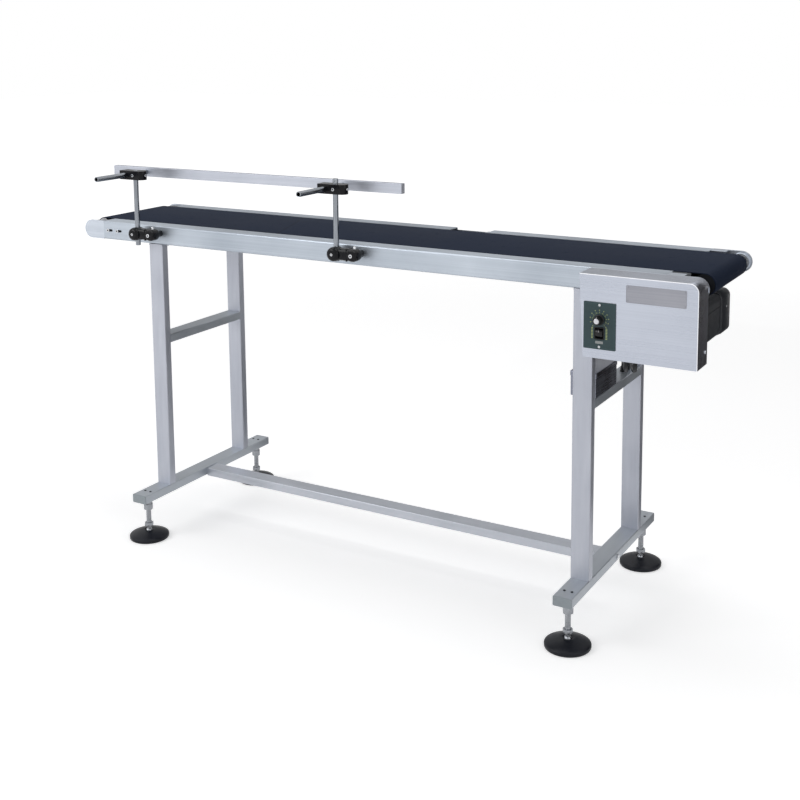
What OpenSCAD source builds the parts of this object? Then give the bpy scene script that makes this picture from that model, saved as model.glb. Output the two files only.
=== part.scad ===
// Light belt conveyor section on a levelling stand, with a sliding side guide.
// Frame: +X along the belt to the drive end, +Y away from the control side, +Z up,
// z = 0 on the floor. All sizes are in millimetres.

/* [Bed] */
// Overall length over the two rounded ends
conveyor_len = 1550; // [1200:10:2400]
// Width over the outside of the two side rails
bed_w = 310; // [270:5:500]
// Height of the carrying surface above the floor
belt_top_z = 750; // [620:5:1000]
// Height of a side rail, which is also the diameter of the rounded ends
rail_h = 44; // [42:1:60]
// Width of a side rail's top and bottom flanges
rail_flange = 40; // [36:1:50]
// Sheet thickness of the side rails
rail_t = 2; // [1.5:0.5:3]
// Outside radius of the side rails' folds
fold_r = 3; // [3:0.5:5]
// Visible length of a tail end plate
tail_plate_len = 62; // [56:1:90]
// Visible length of a drive end plate
drive_plate_len = 80; // [70:1:110]
// Thickness of the rounded end plates
end_plate_t = 5; // [5:0.5:8]
// Length of the notch in the back rail's top flange
notch_len = 95; // [40:5:150]
// Number of cross members between the side rails
cross_count = 4; // [3:1:8]

/* [Belt and rollers] */
// Thickness of the belt
belt_t = 2; // [1.5:0.5:3]
// Gap between the belt's edge and a rail flange
belt_side_gap = 4; // [2:0.5:8]
// Diameter of the drive drum's journals
journal_d = 15; // [12:1:17]
// Outside diameter of the drum bearings
bearing_d = 28; // [24:1:32]
// Width of the drum bearings
bearing_w = 9; // [7:1:11]
// Diameter of the fixed tail axle
tail_axle_d = 12; // [10:1:16]
// Travel of the belt take-up towards the drive end
take_up_travel = 10; // [4:1:14]
// Diameter of the take-up clamping screws
take_up_screw_d = 5; // [4:1:6]

/* [Drive] */
// Length of the drive cover along its top edge
cover_len = 228; // [220:2:280]
// Height of the drive cover
cover_h = 160; // [155:1:200]
// Depth of the drive cover in front of the side rail
cover_depth = 60; // [54:1:75]
// Sheet thickness of the drive cover
cover_t = 1.5; // [1:0.5:2]
// Radius of the drive cover's upper outer corner
cover_corner_r = 17; // [10:1:20]
// How much shorter the drive cover is along its bottom edge
cover_slant = 8; // [0:1:20]
// Distance from the drive cover's side to the belt's nose
cover_set_back = 1; // [1:0.5:10]
// Square size of the gear motor
motor_size = 90; // [80:1:96]
// Length of the gearbox
gearbox_len = 72; // [50:1:80]
// Length of the motor body
motor_len = 146; // [100:1:150]
// Length of the motor's end bell
bell_len = 54; // [30:1:56]
// Distance from the drum axis back to the motor axis
motor_back = 57; // [52:1:80]
// Distance from the drum axis down to the motor axis
motor_drop = 95; // [90:1:100]
// Offset of the output shaft above the motor axis
output_offset = 18; // [10:1:20]
// Diameter of the gearbox output shaft
output_d = 12; // [10:1:14]
// Radius of both timing pulleys
pulley_r = 13.5; // [12:0.5:13.5]
// Width of the timing pulleys between their flanges
pulley_w = 18; // [12:1:20]

/* [Controls] */
// Width of the speed controller's front plate
panel_w = 63; // [60:1:70]
// Height of the speed controller's front plate
panel_h = 90; // [86:1:100]
// Diameter of the speed knob
knob_d = 20; // [14:1:24]
// Width of the rocker switch
rocker_w = 14; // [10:1:18]
// Height of the rocker switch
rocker_h = 18; // [14:1:22]
// Length of the blank name plate
name_plate_len = 114; // [60:1:120]
// Height of the blank name plate
name_plate_h = 33; // [20:1:40]

/* [Stand] */
// Distance between the centres of the two leg frames
leg_spacing = 1080; // [800:4:1200]
// Distance from the tail nose to the first leg frame's centre
leg_set_in = 225; // [200:5:400]
// Wide side of the leg tube, along the conveyor
tube_w = 40; // [38:1:50]
// Narrow side of the leg tube
tube_t = 20; // [18:1:30]
// Wall of the leg tube
tube_wall = 1.5; // [1.5:0.5:2]
// Length of a base bar
base_len = 490; // [420:5:700]
// Height of a base bar's underside above the floor
base_z = 94; // [85:1:110]
// Height of the leg cross bar's top above the floor
cross_bar_z = 484; // [300:2:520]
// Width of the long stretcher
stretcher_w = 40; // [20:1:50]
// How far the stretcher lies below the base bars' tops
stretcher_drop = 3; // [0:1:4]

/* [Feet] */
// Diameter of a foot pad
pad_d = 96; // [70:1:110]
// Diameter of a foot's threaded stem
stem_d = 12; // [10:1:14]
// Distance from a base bar's end to its foot
foot_inset = 31; // [26:1:50]
// Levelling travel each way
foot_travel = 6; // [2:1:6]

/* [Side guide] */
// Diameter of the guide's posts and rods
rod_d = 12; // [10:1:14]
// Bore of the hollow rods
rod_bore_d = 8; // [5:0.5:8]
// Length of an upright post
post_len = 178; // [150:1:260]
// Distance between the two posts
post_spacing = 560; // [400:4:700]
// Distance from the tail nose to the first post
post_set_in = 194; // [150:2:300]
// Height of the guide bar's centre above the belt
guide_height = 122; // [90:1:180]
// Length of the guide bar
guide_len = 810; // [600:5:1000]
// Height of the guide bar
guide_h = 22; // [20:1:40]
// Thickness of the guide bar
guide_t = 14; // [10:1:20]
// How far the guide bar stands behind the posts
guide_reach = 58; // [50:1:90]
// How far the hollow rods stick out in front of the posts
rod_overhang = 110; // [60:1:150]

/* [Clearances] */
// Radial running clearance of a shaft in its bore
run_gap = 0.05; // [0.02:0.01:0.1]
// Gap between separate moving parts
part_gap = 0.3; // [0.3:0.1:0.5]

/* [Hidden] */
$fn = 64;
FRONT = 0;
BACK = 1;
LEFT = 0;
RIGHT = 1;

half_len = conveyor_len / 2;
rail_y = bed_w / 2;
nose_r = rail_h / 2;
axis_x = half_len - nose_r;
axis_z = belt_top_z - nose_r;
rail_z = belt_top_z - rail_h;
rail_x0 = -half_len + tail_plate_len;
rail_x1 = half_len - drive_plate_len;
rail_len = rail_x1 - rail_x0;
flange_in_y = rail_y - rail_flange;
belt_w = 2 * (flange_in_y - belt_side_gap);
belt_in_r = nose_r - belt_t;
drum_r = belt_in_r - part_gap;
drum_len = belt_w + 2;

// The origin lies midway between the rods' front ends and the back foot pads
post_y = -rail_y - 25;
rod_front_y = post_y - rod_overhang;
foot_y = base_len / 2 - foot_inset;
line_y = -(rod_front_y + foot_y + pad_d / 2) / 2;

// Bed pan and cross members
pan_t = 2;
pan_w = belt_w + 2;
pan_lip = 25;
pan_end_gap = 6;
pan_x0 = -axis_x + drum_r + take_up_travel + pan_end_gap;
pan_x1 = axis_x - drum_r - pan_end_gap;
pan_z = belt_top_z - belt_t - pan_t;
cross_size = 28;
cross_wall = 2;
cross_end = 110;
cross_pitch = (rail_len - 2 * cross_end) / (cross_count - 1);
function cross_x(i) = rail_x0 + cross_end + i * cross_pitch;

// End plates: a full-height nose and a thinner tongue that lies inside the rail
tongue_t = end_plate_t - rail_t;
tongue_len = 60;
tongue_h = rail_h - 2 * fold_r;
notch_x0 = 96;
lip_w = 25;
lip_end = 32;
boss_r = bearing_d / 2 + 4;
bearing_shoulder = 3;

// Take-up blocks, which slide inside the rails behind the tail plates
block_t = 22;
block_len = 103;
block_h = rail_h - 2 * rail_t - 3;
block_y = rail_y - end_plate_t - part_gap;
screw_x = [for (dx = [55, 84]) -axis_x + dx];
slot_h = take_up_screw_d + 0.6;
screw_head_r = take_up_screw_d * 0.85;
screw_head_h = 3;

// Drive
plate_t = 4;
plate_y = -rail_y + plate_t;
cover_x1 = half_len - cover_set_back;
cover_x0 = cover_x1 - cover_len;
cover_z = belt_top_z - cover_h;
cover_y = -rail_y - cover_depth;
motor_x = axis_x - motor_back;
motor_z = axis_z - motor_drop;
output_z = motor_z + output_offset;
pulley_y = -rail_y - 33;
pulley_flange_t = 1.5;
pulley_half = pulley_w / 2;
shaft_end_y = pulley_y - pulley_half - pulley_flange_t - 1;
timing_t = 2;
timing_in_r = pulley_r + part_gap;
shaft_hole_r = output_d / 2 + 6;
motor_round = 14;
bolt_inset = 12;
motor_bolt_r = 3;
bolt_depth = 12;
grille_recess = 2;

// Controls, on the cover's front face
panel_t = 2;
panel_x = cover_x0 + 10 + panel_w / 2;
panel_z = belt_top_z - 52 - panel_h / 2;
knob_z = panel_z + 12;
rocker_z = panel_z - 14;
rocker_travel_gap = 1;
rocker_pin_reach = 3;
rocker_pin_r = 1.5;
knob_h = 16;
knob_shaft_r = 3;
case_margin = 5;
case_depth = 30;
name_plate_x = cover_x1 - 22 - name_plate_len / 2;
name_plate_z = belt_top_z - 14 - name_plate_h / 2;
name_plate_t = 0.8;
small_screw_r = 3;
small_screw_h = 1.6;
cover_screw_z = cover_z + 25;

// Stand
leg_x = [-half_len + leg_set_in, -half_len + leg_set_in + leg_spacing];
leg_y = rail_y - tube_t / 2;
base_top_z = base_z + tube_t;
foot_plate_t = 4;
foot_plate_w = 35;
cap_t = 2;
stretcher_y = 4;
frame_bolt_r = 3;
bolt_head_r = 5;
bolt_head_h = 4;
flange_bolt_y = rail_y - tube_t - 8;
flange_bolt_dx = 11;

// Supply box on the right cross bar, and the two leads from the drive cover
box_x0 = leg_x[RIGHT] - 35;
box_len = 55;
box_y0 = -rail_y + tube_t + 3;
box_w = 120;
box_h = 50;
box_wall = 1.5;
lead_d = 8;
lead_sides = 10;
lead_rings = 26;
gland_r = 7;
gland_h = 12;
lead_dx = [-72, -54];
lead_y = -rail_y - 14;
lead_end_y = [78, 100];
lead_dip = 55;

// Feet
pad_rim_h = 8;
pad_dome_z = 20;
pad_top_z = 24;
ball_r = 8;
ball_z = 16;
neck_r = 4.5;
collar_z = 29;
collar_h = 8;
hex_r = stem_d * 0.9;
nut_h = 10;
stem_top_z = base_z + 5 + foot_travel;
insert_r = stem_d / 2 + 4;

// Side guide
post_x = [-half_len + post_set_in, -half_len + post_set_in + post_spacing];
rod_z = belt_top_z + guide_height;
rod_dx = -19;
bar_y = post_y + guide_reach;
bar_tail = 122;
bar_x0 = post_x[LEFT] - bar_tail;
post_z0 = [rail_z - 1, rail_z + 10];
clamp_z = belt_top_z - 17;
lobe_r = 15.5;
small_lobe_r = 13.5;
stud_r = 3;
stud_z = clamp_z + small_lobe_r - 1;
lobe_gap_x = 46;
lobe_front = 20;
lobe_back = 13;
upper_clamp_h = 21;
upper_clamp_y = 13;
upper_clamp_left = 38;
upper_clamp_right = 30;
clamp_screw_r = 4;
rod_plug = 20;

// ---- helpers ----

// Moves the conveyor's centre line to its place across the part
module on_line() {
    translate([0, line_y, 0])
        children();
}

// The front side as drawn, or its mirror image at the back
module on_side(side) {
    mirror([0, side, 0])
        children();
}

// Rectangle with round corners, from the origin
module round_rect(w, h, r) {
    translate([r, 0])
        square([w - 2 * r, h]);
    translate([0, r])
        square([w, h - 2 * r]);
    for (x = [r, w - r], y = [r, h - r])
        translate([x, y])
            circle(r);
}

// Extrudes an outline drawn in Y and Z along +X
module along_x(len) {
    rotate([90, 0, 90])
        linear_extrude(len)
            children();
}

// Extrudes an outline drawn in X and Z from y0 towards +Y
module along_y(y0, len) {
    translate([0, y0 + len, 0])
        rotate([90, 0, 0])
            linear_extrude(len)
                children();
}

// Rod along Y that starts at y0
module rod_y(x, y0, z, len, r) {
    translate([x, y0, z])
        rotate([-90, 0, 0])
            cylinder(h = len, r = r);
}

// Slot outline for a screw that slides by the take-up travel
module slot_outline() {
    circle(slot_h / 2);
    translate([take_up_travel, 0])
        circle(slot_h / 2);
    translate([0, -slot_h / 2])
        square([take_up_travel, slot_h]);
}

// Hollow rectangular tube outline, centred
module tube_outline(w, h, wall) {
    difference() {
        translate([-w / 2, -h / 2])
            round_rect(w, h, 2);
        translate([-w / 2 + wall, -h / 2 + wall])
            square([w - 2 * wall, h - 2 * wall]);
    }
}

// Stadium outline around two equal wheels, a distance apart along +X
module loop_outline(r, dist) {
    circle(r);
    translate([dist, 0])
        circle(r);
    translate([0, -r])
        square([dist, 2 * r]);
}

// ---- bed ----

// Channel outline, web at y = 0, flanges towards +Y
module rail_outline() {
    inner_r = fold_r - rail_t;
    difference() {
        union() {
            round_rect(rail_flange, rail_h, fold_r);
            translate([rail_flange / 2, 0])
                square([rail_flange / 2, rail_h]);
        }
        translate([rail_t, rail_t])
            round_rect(rail_flange, rail_h - 2 * rail_t, inner_r);
        translate([rail_flange / 2, rail_t])
            square([rail_flange, rail_h - 2 * rail_t]);
    }
}

// Front rail with its take-up slots and the bolt holes for what hangs on it
module rail_shape() {
    difference() {
        translate([rail_x0, -rail_y, rail_z])
            along_x(rail_len)
                rail_outline();
        for (x = screw_x)
            translate([x, 0, axis_z])
                along_y(-rail_y - 1, rail_t + 2)
                    slot_outline();
        for (x = leg_x, dx = [-flange_bolt_dx, flange_bolt_dx])
            translate([x + dx, -flange_bolt_y, rail_z - 1])
                cylinder(h = rail_t + 2, r = frame_bolt_r + part_gap);
    }
}

module side_rail_front() {
    color("lightsteelblue")
        on_line()
            difference() {
                rail_shape();
                for (x = post_x)
                    rod_y(x + lobe_gap_x, -rail_y - 1, clamp_z, rail_t + 2, clamp_screw_r + part_gap);
            }
}

module side_rail_back() {
    color("lightsteelblue")
        on_line()
            difference() {
                on_side(BACK)
                    rail_shape();
                translate([notch_x0, flange_in_y - 1, belt_top_z - 6])
                    cube([notch_len, rail_flange + 2, 7]);
            }
}

module bed_pan() {
    color("silver")
        on_line()
            difference() {
                translate([pan_x0, -pan_w / 2, pan_z - pan_lip])
                    cube([pan_x1 - pan_x0, pan_w, pan_lip + pan_t]);
                translate([pan_x0 - 1, -pan_w / 2 + pan_t, pan_z - pan_lip - 1])
                    cube([pan_x1 - pan_x0 + 2, pan_w - 2 * pan_t, pan_lip + 1]);
                for (i = [0 : cross_count - 1])
                    translate([cross_x(i) - cross_size / 2 - 0.5, -pan_w, pan_z - pan_lip - 1])
                        cube([cross_size + 1, 2 * pan_w, pan_lip + 1]);
            }
}

module cross_members() {
    color("slategray")
        on_line()
            for (i = [0 : cross_count - 1])
                translate([cross_x(i), 0, pan_z - cross_size / 2])
                    along_y(-rail_y + rail_t, bed_w - 2 * rail_t)
                        tube_outline(cross_size, cross_size, cross_wall);
}

module belt() {
    color("#2b3140")
        on_line()
            translate([-axis_x, 0, axis_z])
                along_y(-belt_w / 2, belt_w)
                    difference() {
                        loop_outline(nose_r, 2 * axis_x);
                        loop_outline(belt_in_r, 2 * axis_x);
                    }
}

// ---- end plates ----

// Drive end plate, front side: nose, tongue, top lip and bearing housing
module drive_plate() {
    difference() {
        union() {
            along_y(-rail_y, end_plate_t) {
                translate([axis_x, axis_z])
                    circle(nose_r);
                translate([rail_x1, rail_z])
                    square([axis_x - rail_x1, rail_h]);
            }
            translate([rail_x1 - tongue_len, -rail_y + rail_t, axis_z - tongue_h / 2])
                cube([tongue_len + 1, tongue_t, tongue_h]);
            translate([rail_x1, -rail_y + 1, belt_top_z - rail_t])
                cube([lip_end, lip_w - 1, rail_t]);
            rod_y(axis_x, -rail_y + end_plate_t - 1, axis_z, bearing_w + 1 - rail_t, boss_r);
        }
        rod_y(axis_x, -rail_y + bearing_shoulder, axis_z, bearing_w + end_plate_t, bearing_d / 2);
    }
}

module drive_plate_front() {
    color("lightsteelblue")
        on_line()
            difference() {
                drive_plate();
                rod_y(axis_x, -rail_y - 1, axis_z, end_plate_t, journal_d / 2 + 1);
            }
}

module drive_plate_back() {
    color("lightsteelblue")
        on_line()
            on_side(BACK)
                drive_plate();
}

// Tail end plate, front side: nose and a tongue with the take-up slots
module tail_plate() {
    difference() {
        union() {
            along_y(-rail_y, end_plate_t) {
                translate([-axis_x, axis_z])
                    circle(nose_r);
                translate([-axis_x, rail_z])
                    square([rail_x0 + axis_x, rail_h]);
            }
            translate([rail_x0 - 1, -rail_y + rail_t, axis_z - tongue_h / 2])
                cube([tongue_len + 1, tongue_t, tongue_h]);
        }
        for (x = screw_x)
            translate([x, 0, axis_z])
                along_y(-rail_y - 1, end_plate_t + 2)
                    slot_outline();
    }
}

module tail_plate_front() {
    color("lightsteelblue")
        on_line()
            tail_plate();
}

module tail_plate_back() {
    color("lightsteelblue")
        on_line()
            on_side(BACK)
                tail_plate();
}

// ---- rollers ----

module drum_bearings() {
    bearing_y = -rail_y + bearing_shoulder;
    color("gray")
        on_line()
            for (side = [FRONT, BACK])
                on_side(side)
                    difference() {
                        rod_y(axis_x, bearing_y, axis_z, bearing_w, bearing_d / 2);
                        rod_y(axis_x, bearing_y - 1, axis_z, bearing_w + 2, journal_d / 2 + run_gap);
                    }
}

module drive_drum() {
    color("dimgray")
        on_line() {
            rod_y(axis_x, -drum_len / 2, axis_z, drum_len, drum_r);
            rod_y(axis_x, shaft_end_y, axis_z, rail_y - bearing_shoulder - part_gap - shaft_end_y, journal_d / 2);
        }
}

// Toothed wheel with a flange on each side, drawn on the pulley line
module pulley(x, z, bore_r) {
    difference() {
        union() {
            rod_y(x, pulley_y - pulley_half, z, pulley_w, pulley_r);
            for (y = [pulley_y - pulley_half - pulley_flange_t, pulley_y + pulley_half])
                rod_y(x, y, z, pulley_flange_t, pulley_r + timing_t - part_gap);
        }
        rod_y(x, pulley_y - pulley_w, z, 2 * pulley_w, bore_r);
    }
}

module drum_pulley() {
    color("silver")
        on_line()
            pulley(axis_x, axis_z, journal_d / 2);
}

module motor_pulley() {
    color("silver")
        on_line()
            pulley(motor_x, output_z, output_d / 2);
}

module output_shaft() {
    color("gainsboro")
        on_line()
            rod_y(motor_x, shaft_end_y, output_z, plate_y + 30 - shaft_end_y, output_d / 2);
}

module timing_belt() {
    dx = axis_x - motor_x;
    dz = axis_z - output_z;
    dist = sqrt(dx * dx + dz * dz);
    color("#202020")
        on_line()
            translate([motor_x, 0, output_z])
                along_y(pulley_y - pulley_half + 1, pulley_w - 2)
                    rotate(atan2(dz, dx))
                        difference() {
                            loop_outline(timing_in_r + timing_t, dist);
                            loop_outline(timing_in_r, dist);
                        }
}

module tail_roller() {
    hub_len = 15;
    tube_r = drum_r - 3;
    color("gainsboro")
        on_line()
            difference() {
                rod_y(-axis_x, -drum_len / 2, axis_z, drum_len, drum_r);
                rod_y(-axis_x, -drum_len, axis_z, 2 * drum_len, tail_axle_d / 2 + run_gap);
                rod_y(-axis_x, -drum_len / 2 + hub_len, axis_z, drum_len - 2 * hub_len, tube_r);
            }
}

module tail_axle() {
    half = block_y - 4;
    color("silver")
        on_line()
            rod_y(-axis_x, -half, axis_z, 2 * half, tail_axle_d / 2);
}

module take_up_blocks() {
    color("gray")
        on_line()
            for (side = [FRONT, BACK])
                on_side(side)
                    difference() {
                        along_y(-block_y, block_t) {
                            translate([-axis_x, axis_z])
                                circle(block_h / 2);
                            translate([-axis_x, axis_z - block_h / 2])
                                square([block_len, block_h]);
                        }
                        rod_y(-axis_x, -block_y + 4, axis_z, block_t, tail_axle_d / 2);
                        for (x = screw_x)
                            rod_y(x, -block_y - 1, axis_z, block_t, take_up_screw_d / 2);
                    }
}

module take_up_screws() {
    head_y = -rail_y - part_gap - screw_head_h;
    color("white")
        on_line()
            for (side = [FRONT, BACK], x = screw_x)
                on_side(side) {
                    rod_y(x, head_y, axis_z, screw_head_h, screw_head_r);
                    rod_y(x, head_y, axis_z, -block_y + block_t - 2 - head_y, take_up_screw_d / 2);
                }
}

// ---- drive ----

// Outline of the drive cover in X and Z, shrunk by an even margin
module cover_outline(m) {
    r = cover_corner_r - m;
    x1 = cover_x1 - m;
    z1 = belt_top_z - m;
    z0 = cover_z + m;
    difference() {
        polygon([[cover_x0 + m, z1], [x1, z1], [x1, z0], [cover_x0 + cover_slant + m, z0]]);
        translate([x1 - r, z1 - r])
            difference() {
                square(2 * r);
                circle(r);
            }
    }
}

module drive_cover() {
    color("lightgray")
        on_line()
            difference() {
                along_y(cover_y, cover_depth)
                    cover_outline(0);
                along_y(cover_y + cover_t, cover_depth)
                    cover_outline(cover_t);
                translate([panel_x - panel_w / 2 + case_margin, cover_y - 1, panel_z - panel_h / 2 + case_margin])
                    cube([panel_w - 2 * case_margin, cover_t + 2, panel_h - 2 * case_margin]);
                for (dx = lead_dx)
                    translate([motor_x + dx, lead_y, cover_z - 1])
                        cylinder(h = cover_t + 2, r = gland_r - 2);
            }
}

module cover_screws() {
    color("white")
        on_line() {
            translate([cover_x1, -rail_y - 12, cover_screw_z])
                rotate([0, 90, 0])
                    cylinder(h = small_screw_h, r = small_screw_r);
            for (z = [panel_z - panel_h / 2 + 5, panel_z + panel_h / 2 - 5])
                rod_y(panel_x, cover_y - panel_t - 1, z, 1, 2.2);
        }
}

module name_plate() {
    color("white")
        on_line()
            translate([name_plate_x - name_plate_len / 2, 0, name_plate_z - name_plate_h / 2])
                along_y(cover_y - name_plate_t, name_plate_t)
                    round_rect(name_plate_len, name_plate_h, 2);
}

module drive_mount_plate() {
    x0 = cover_x0 + cover_slant + 4;
    x1 = cover_x1 - 4;
    z0 = cover_z + 4;
    color("gray")
        on_line()
            difference() {
                translate([x0, -rail_y, z0])
                    cube([x1 - x0, plate_t, rail_z - z0]);
                rod_y(motor_x, -rail_y - 1, output_z, plate_t + 2, shaft_hole_r);
                at_motor_bolts()
                    rod_y(0, -rail_y - 1, 0, plate_t + 2, motor_bolt_r);
            }
}

// Repeats a piece drawn on the Y axis at the motor's four bolts
module at_motor_bolts() {
    reach = motor_size / 2 - bolt_inset;
    for (dx = [-reach, reach], dz = [-reach, reach])
        translate([motor_x + dx, 0, motor_z + dz])
            children();
}

module control_plate() {
    color("#2d4a52")
        on_line()
            difference() {
                translate([panel_x - panel_w / 2, 0, panel_z - panel_h / 2])
                    along_y(cover_y - panel_t, panel_t)
                        round_rect(panel_w, panel_h, 1.5);
                rod_y(panel_x, cover_y - panel_t - 1, knob_z, panel_t + 2, knob_shaft_r + run_gap);
                translate([
                    panel_x - rocker_w / 2 - rocker_travel_gap, cover_y - panel_t - 1,
                    rocker_z - rocker_h / 2 - rocker_travel_gap,
                ])
                    cube([rocker_w + 2 * rocker_travel_gap, panel_t + 2, rocker_h + 2 * rocker_travel_gap]);
            }
}

// Case of the speed controller, with a bearing for the knob's shaft and a well for the rocker
module controller_case() {
    w = panel_w - 2 * case_margin - 2;
    h = panel_h - 2 * case_margin - 2;
    well = 10;
    color("#303030")
        on_line()
            difference() {
                translate([panel_x - w / 2, cover_y, panel_z - h / 2])
                    cube([w, case_depth, h]);
                rod_y(panel_x, cover_y - 1, knob_z, 11, knob_shaft_r + run_gap);
                translate([
                    panel_x - rocker_w / 2 - rocker_travel_gap, cover_y - 1,
                    rocker_z - rocker_h / 2 - rocker_travel_gap,
                ])
                    cube([rocker_w + 2 * rocker_travel_gap, well + 1, rocker_h + 2 * rocker_travel_gap]);
                rocker_pivot(rocker_pin_reach + part_gap, rocker_pin_r + run_gap);
            }
}

// Pin across the rocker, standing out by the given reach on each side
module rocker_pivot(reach, r) {
    translate([panel_x - rocker_w / 2 - reach, cover_y + 3, rocker_z])
        rotate([0, 90, 0])
            cylinder(h = rocker_w + 2 * reach, r = r);
}

module speed_knob() {
    knob_y = cover_y - panel_t - part_gap;
    color("#151515")
        on_line() {
            rod_y(panel_x, knob_y - knob_h, knob_z, knob_h, knob_d / 2 - 2);
            rod_y(panel_x, knob_y - 3, knob_z, 3, knob_d / 2);
            rod_y(panel_x, knob_y - 1, knob_z, 9, knob_shaft_r);
        }
}

module rocker_switch() {
    crown_r = rocker_h / 2 - 0.5;
    color("#151515")
        on_line() {
            translate([panel_x - rocker_w / 2, cover_y + 3, rocker_z])
                intersection() {
                    rotate([0, 90, 0])
                        cylinder(h = rocker_w, r = crown_r);
                    translate([0, -crown_r - 1, -crown_r - 1])
                        cube([rocker_w, crown_r + 6, 2 * crown_r + 2]);
                }
            rocker_pivot(rocker_pin_reach, rocker_pin_r);
        }
}

// Square outline with round corners about the motor's axis
module motor_outline(size) {
    translate([motor_x - size / 2, motor_z - size / 2])
        round_rect(size, size, motor_round);
}

module gearbox() {
    color("#50565a")
        on_line()
            difference() {
                along_y(plate_y, gearbox_len)
                    motor_outline(motor_size);
                rod_y(motor_x, plate_y - 1, output_z, 31 + part_gap, output_d / 2 + run_gap);
                at_motor_bolts()
                    rod_y(0, plate_y - 1, 0, bolt_depth + 1, motor_bolt_r);
            }
}

module motor_body() {
    color("#454b50")
        on_line()
            along_y(plate_y + gearbox_len, motor_len)
                motor_outline(motor_size - 2);
}

module motor_end_bell() {
    y0 = plate_y + gearbox_len + motor_len;
    color("#3b4045")
        on_line()
            difference() {
                along_y(y0, bell_len)
                    motor_outline(motor_size);
                rod_y(motor_x, y0 + bell_len - grille_recess, motor_z, bell_len, motor_size / 2 - 12);
            }
}

module motor_bolts() {
    color("silver")
        on_line()
            at_motor_bolts() {
                rod_y(0, -rail_y - bolt_head_h, 0, bolt_head_h, motor_bolt_r + 2);
                rod_y(0, -rail_y - bolt_head_h, 0, bolt_head_h + plate_t + bolt_depth, motor_bolt_r);
            }
}

// ---- stand ----

// One leg upright with its welded top plate
module upright(i, side) {
    plate_y0 = -leg_y - tube_t / 2;
    on_side(side)
        difference() {
            union() {
                translate([leg_x[i], -leg_y, base_top_z])
                    linear_extrude(rail_z - foot_plate_t - base_top_z)
                        tube_outline(tube_w, tube_t, tube_wall);
                translate([leg_x[i] - tube_w / 2, plate_y0, rail_z - foot_plate_t])
                    cube([tube_w, foot_plate_w, foot_plate_t]);
            }
            for (dx = [-flange_bolt_dx, flange_bolt_dx])
                translate([leg_x[i] + dx, -flange_bolt_y, rail_z - foot_plate_t - 1])
                    cylinder(h = foot_plate_t + 2, r = frame_bolt_r + part_gap);
        }
}

module upright_left_front() {
    color("lightslategray")
        on_line()
            upright(LEFT, FRONT);
}

module upright_left_back() {
    color("lightslategray")
        on_line()
            upright(LEFT, BACK);
}

module upright_right_front() {
    color("lightslategray")
        on_line()
            upright(RIGHT, FRONT);
}

module upright_right_back() {
    color("lightslategray")
        on_line()
            upright(RIGHT, BACK);
}

// Welded tube between a frame's two uprights
module cross_bar(i) {
    half = rail_y - tube_t;
    translate([leg_x[i], 0, cross_bar_z - tube_t / 2])
        along_y(-half, 2 * half)
            tube_outline(tube_w, tube_t, tube_wall);
}

module cross_bar_left() {
    color("lightslategray")
        on_line()
            cross_bar(LEFT);
}

module cross_bar_right() {
    color("lightslategray")
        on_line()
            difference() {
                cross_bar(RIGHT);
                for (y = lead_end_y)
                    translate([leg_x[RIGHT], y, cross_bar_z - tube_wall - 1])
                        cylinder(h = tube_wall + 2, r = gland_r - 2);
            }
}

// Base bar with a threaded insert over each foot
module base_bar(i) {
    half = base_len / 2 - cap_t;
    translate([leg_x[i], 0, 0])
        difference() {
            union() {
                translate([0, 0, base_z + tube_t / 2])
                    along_y(-half, 2 * half)
                        tube_outline(tube_w, tube_t, tube_wall);
                for (side = [FRONT, BACK])
                    on_side(side)
                        translate([0, -foot_y, base_z + tube_wall / 2])
                            cylinder(h = tube_t - tube_wall, r = insert_r);
            }
            for (side = [FRONT, BACK])
                on_side(side)
                    translate([0, -foot_y, base_z - 1])
                        cylinder(h = tube_t - tube_wall, r = stem_d / 2 + run_gap);
        }
}

module base_bar_left() {
    color("lightslategray")
        on_line()
            base_bar(LEFT);
}

module base_bar_right() {
    color("lightslategray")
        on_line()
            base_bar(RIGHT);
}

module base_end_caps() {
    color("silver")
        on_line()
            for (x = leg_x, side = [FRONT, BACK])
                on_side(side)
                    translate([x, 0, base_z + tube_t / 2]) {
                        along_y(-base_len / 2, cap_t)
                            translate([-tube_w / 2, -tube_t / 2])
                                round_rect(tube_w, tube_t, 2);
                    }
}

module stretcher() {
    x0 = leg_x[LEFT] + tube_w / 2;
    color("lightslategray")
        on_line()
            translate([x0, stretcher_y, base_top_z - stretcher_drop - tube_t / 2])
                along_x(leg_spacing - tube_w)
                    tube_outline(stretcher_w, tube_t, tube_wall);
}

// Bolts under the rail flanges with their nuts, stretcher bolts, and base bar screws
module frame_bolts() {
    flange_top = rail_z + rail_t;
    under = rail_z - foot_plate_t;
    color("white")
        on_line() {
            for (x = leg_x, dx = [-flange_bolt_dx, flange_bolt_dx], side = [FRONT, BACK])
                on_side(side)
                    translate([x + dx, -flange_bolt_y, 0]) {
                        translate([0, 0, under - bolt_head_h])
                            cylinder(h = bolt_head_h, r = bolt_head_r, $fn = 6);
                        translate([0, 0, under - bolt_head_h])
                            cylinder(h = flange_top + 8 - under, r = frame_bolt_r);
                        translate([0, 0, flange_top])
                            cylinder(h = 3.5, r = bolt_head_r, $fn = 6);
                    }
            for (i = [LEFT, RIGHT])
                translate([leg_x[i] - (1 - 2 * i) * tube_w / 2, stretcher_y, base_z + tube_t / 2])
                    rotate([0, (2 * i - 1) * 90, 0])
                        cylinder(h = bolt_head_h, r = bolt_head_r, $fn = 6);
            for (x = leg_x, side = [FRONT, BACK], dx = [-8, 8])
                on_side(side)
                    translate([x + dx, -foot_y, base_top_z])
                        cylinder(h = 1, r = 2.5);
        }
}

// ---- supply box and leads ----

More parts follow.
